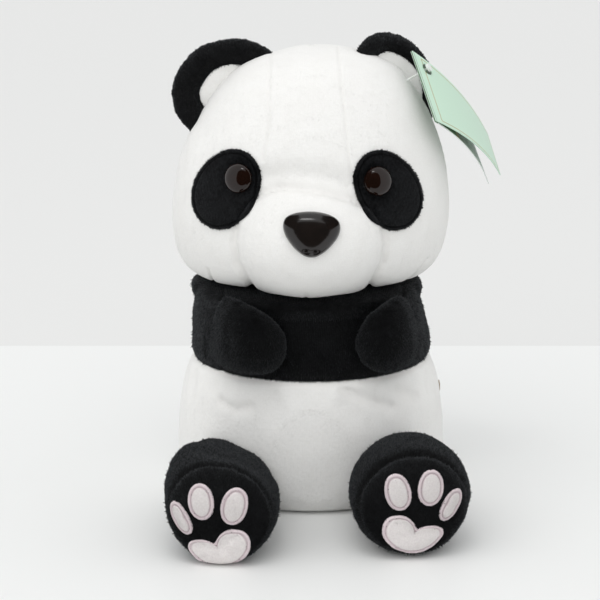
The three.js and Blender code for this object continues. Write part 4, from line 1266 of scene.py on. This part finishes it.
def tag_leaf(name, top_run, low_run, set_back, hole_centre, hole_radius):
    """A bowed sheet from the fold to its free edge, with a round hole for the fastener."""
    bm = bmesh.new()
    bmesh.ops.create_grid(bm, x_segments=LEAF_STEPS_ALONG, y_segments=LEAF_STEPS_DOWN, size=0.5)
    inset = bm.verts.layers.float.new("inset")
    along_layer = bm.verts.layers.float.new("along")
    start = FOLD_TOP - tag_outward * set_back
    for vert in bm.verts:
        along = vert.co.x + 0.5
        down = 0.5 - vert.co.y
        bow = tag_outward * (LEAF_BOW * 2 * along * (1 - along))
        top = start + top_run * along
        low = start + FOLD_RUN + low_run * along
        vert.co = top.lerp(low, down) + bow
        width = (low - top).length
        from_fold = along * top_run.length - FOLD_BORDER
        vert[inset] = min(down * width, (1 - down) * width, (1 - along) * top_run.length, from_fold) / MM
        vert[along_layer] = along * top_run.length / MM

    def from_hole(point):
        flat = point - hole_centre
        return flat - tag_outward * flat.dot(tag_outward)

    inside = [face for face in bm.faces if from_hole(face.calc_center_median()).length < hole_radius]
    bmesh.ops.delete(bm, geom=inside, context="FACES")
    for vert in bm.verts:
        flat = from_hole(vert.co)
        if vert.is_boundary and flat.length < hole_radius * HOLE_NEAR_SHARE:
            vert.co += flat.normalized() * (hole_radius - flat.length)
    bmesh.ops.recalc_face_normals(bm, faces=bm.faces)
    bm.faces.ensure_lookup_table()
    if bm.faces[0].normal.dot(tag_outward) < 0:
        bmesh.ops.reverse_faces(bm, faces=bm.faces)
    leaf = new_object(name, bm)
    wall = leaf.modifiers.new("card", "SOLIDIFY")
    wall.thickness = CARD_THICKNESS
    wall.offset = -1
    apply_modifiers(leaf)
    # The first half of the points is the outward side, and the bands are on that side only
    bands_layer, places = attribute_of(leaf.data, "along")
    places[len(places) // 2:] = BANDS_LENGTH
    bands_layer.data.foreach_set("value", places)
    leaf.data.shade_smooth()
    leaf.data.set_sharp_from_angle(angle=CARD_EDGE_ANGLE)
    return leaf


def card_material(name, bands, line, line_inset):
    """Coated card with bands of colour along its length, from the millimetres given with each, and a
    thin border line. On the back leaf the bands are painted shade, darker towards the fold."""
    material, tree, shader = new_material(name)
    inset = attribute_value(tree, "inset")
    past = result_of(tree, "GREATER_THAN", inset, line_inset[0])
    before = result_of(tree, "LESS_THAN", inset, line_inset[1])
    on_line = result_of(tree, "MULTIPLY", past, before)
    ramp = tree.nodes.new("ShaderNodeValToRGB")
    stops = ramp.color_ramp.elements
    while len(stops) < len(bands):
        stops.new(1)
    for stop, (start, colour) in zip(stops, bands):
        stop.position = start / BANDS_LENGTH
        stop.color = (*colour, 1)
    set_inputs(ramp, {"Fac": map_range(tree, attribute_value(tree, "along"), {"From Max": BANDS_LENGTH})})
    paper = texture(tree, "Noise", {"Scale": 900, "Detail": 4})
    faint = result_of(tree, "MULTIPLY", paper, 0.1)
    grain = mix_colours(tree, faint, ramp.outputs["Color"], (1, 1, 1, 1))
    bump = {"Distance": PAPER_DEPTH, "Strength": 0.3, "Height": paper}
    set_inputs(shader, {
        "Base Color": mix_colours(tree, on_line, grain, (*line, 1)), "Roughness": 0.4,
        "Normal": add_node(tree, "Bump", bump)["Normal"],
    })
    return material


cover_hole = pin + COVER_TOP.normalized() * COVER_HOLE_SHIFT
cover = tag_leaf("tag_cover_card", COVER_TOP, COVER_LOW, 0, cover_hole, COVER_HOLE_RADIUS)
cover.data.materials.append(card_material("cover_card", COVER_BANDS, GOLD_LINE, COVER_LINE_INSET))
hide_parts("tag_front_leaf")
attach(cover, "tag_cover")
back_leaf = tag_leaf("tag_back_card", BACK_TOP, BACK_LOW, CARD_THICKNESS + LEAF_GAP, pin, BACK_HOLE_RADIUS)
back_leaf.data.materials.append(card_material("back_card", BACK_SHADE_BANDS, PALE_EDGE, BACK_LINE_INSET))
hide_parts("tag_back_leaf")
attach(back_leaf, "tag")


# Tag fastener: a clear nylon filament with a moulded button, pushed through the card and into the head in
# front of the right ear. Washers: pale moulded rings that lock the shanks inside the head.
NYLON_COLOUR = (0.8, 0.83, 0.8)
WASHER_COLOUR = (0.7, 0.7, 0.68)
FLOW_SHADE_SHARE = 0.92


def moulded_plastic(name, colour, roughness):
    material, tree, shader = new_material(name)
    flow = texture(tree, "Noise", {"Scale": 400, "Detail": 3})
    shade = [share * FLOW_SHADE_SHARE for share in colour]
    mixed = mix_colours(tree, flow, (*colour, 1), (*shade, 1))
    set_inputs(shader, {"Base Color": mixed, "Roughness": roughness})
    return material


give_material("tag_fastener", moulded_plastic("clear_nylon", NYLON_COLOUR, roughness=0.25))
washer_plastic = moulded_plastic("washer_plastic", WASHER_COLOUR, roughness=0.45)
for washer in ["eye_washer_left", "eye_washer_right", "nose_washer"]:
    give_material(washer, washer_plastic)
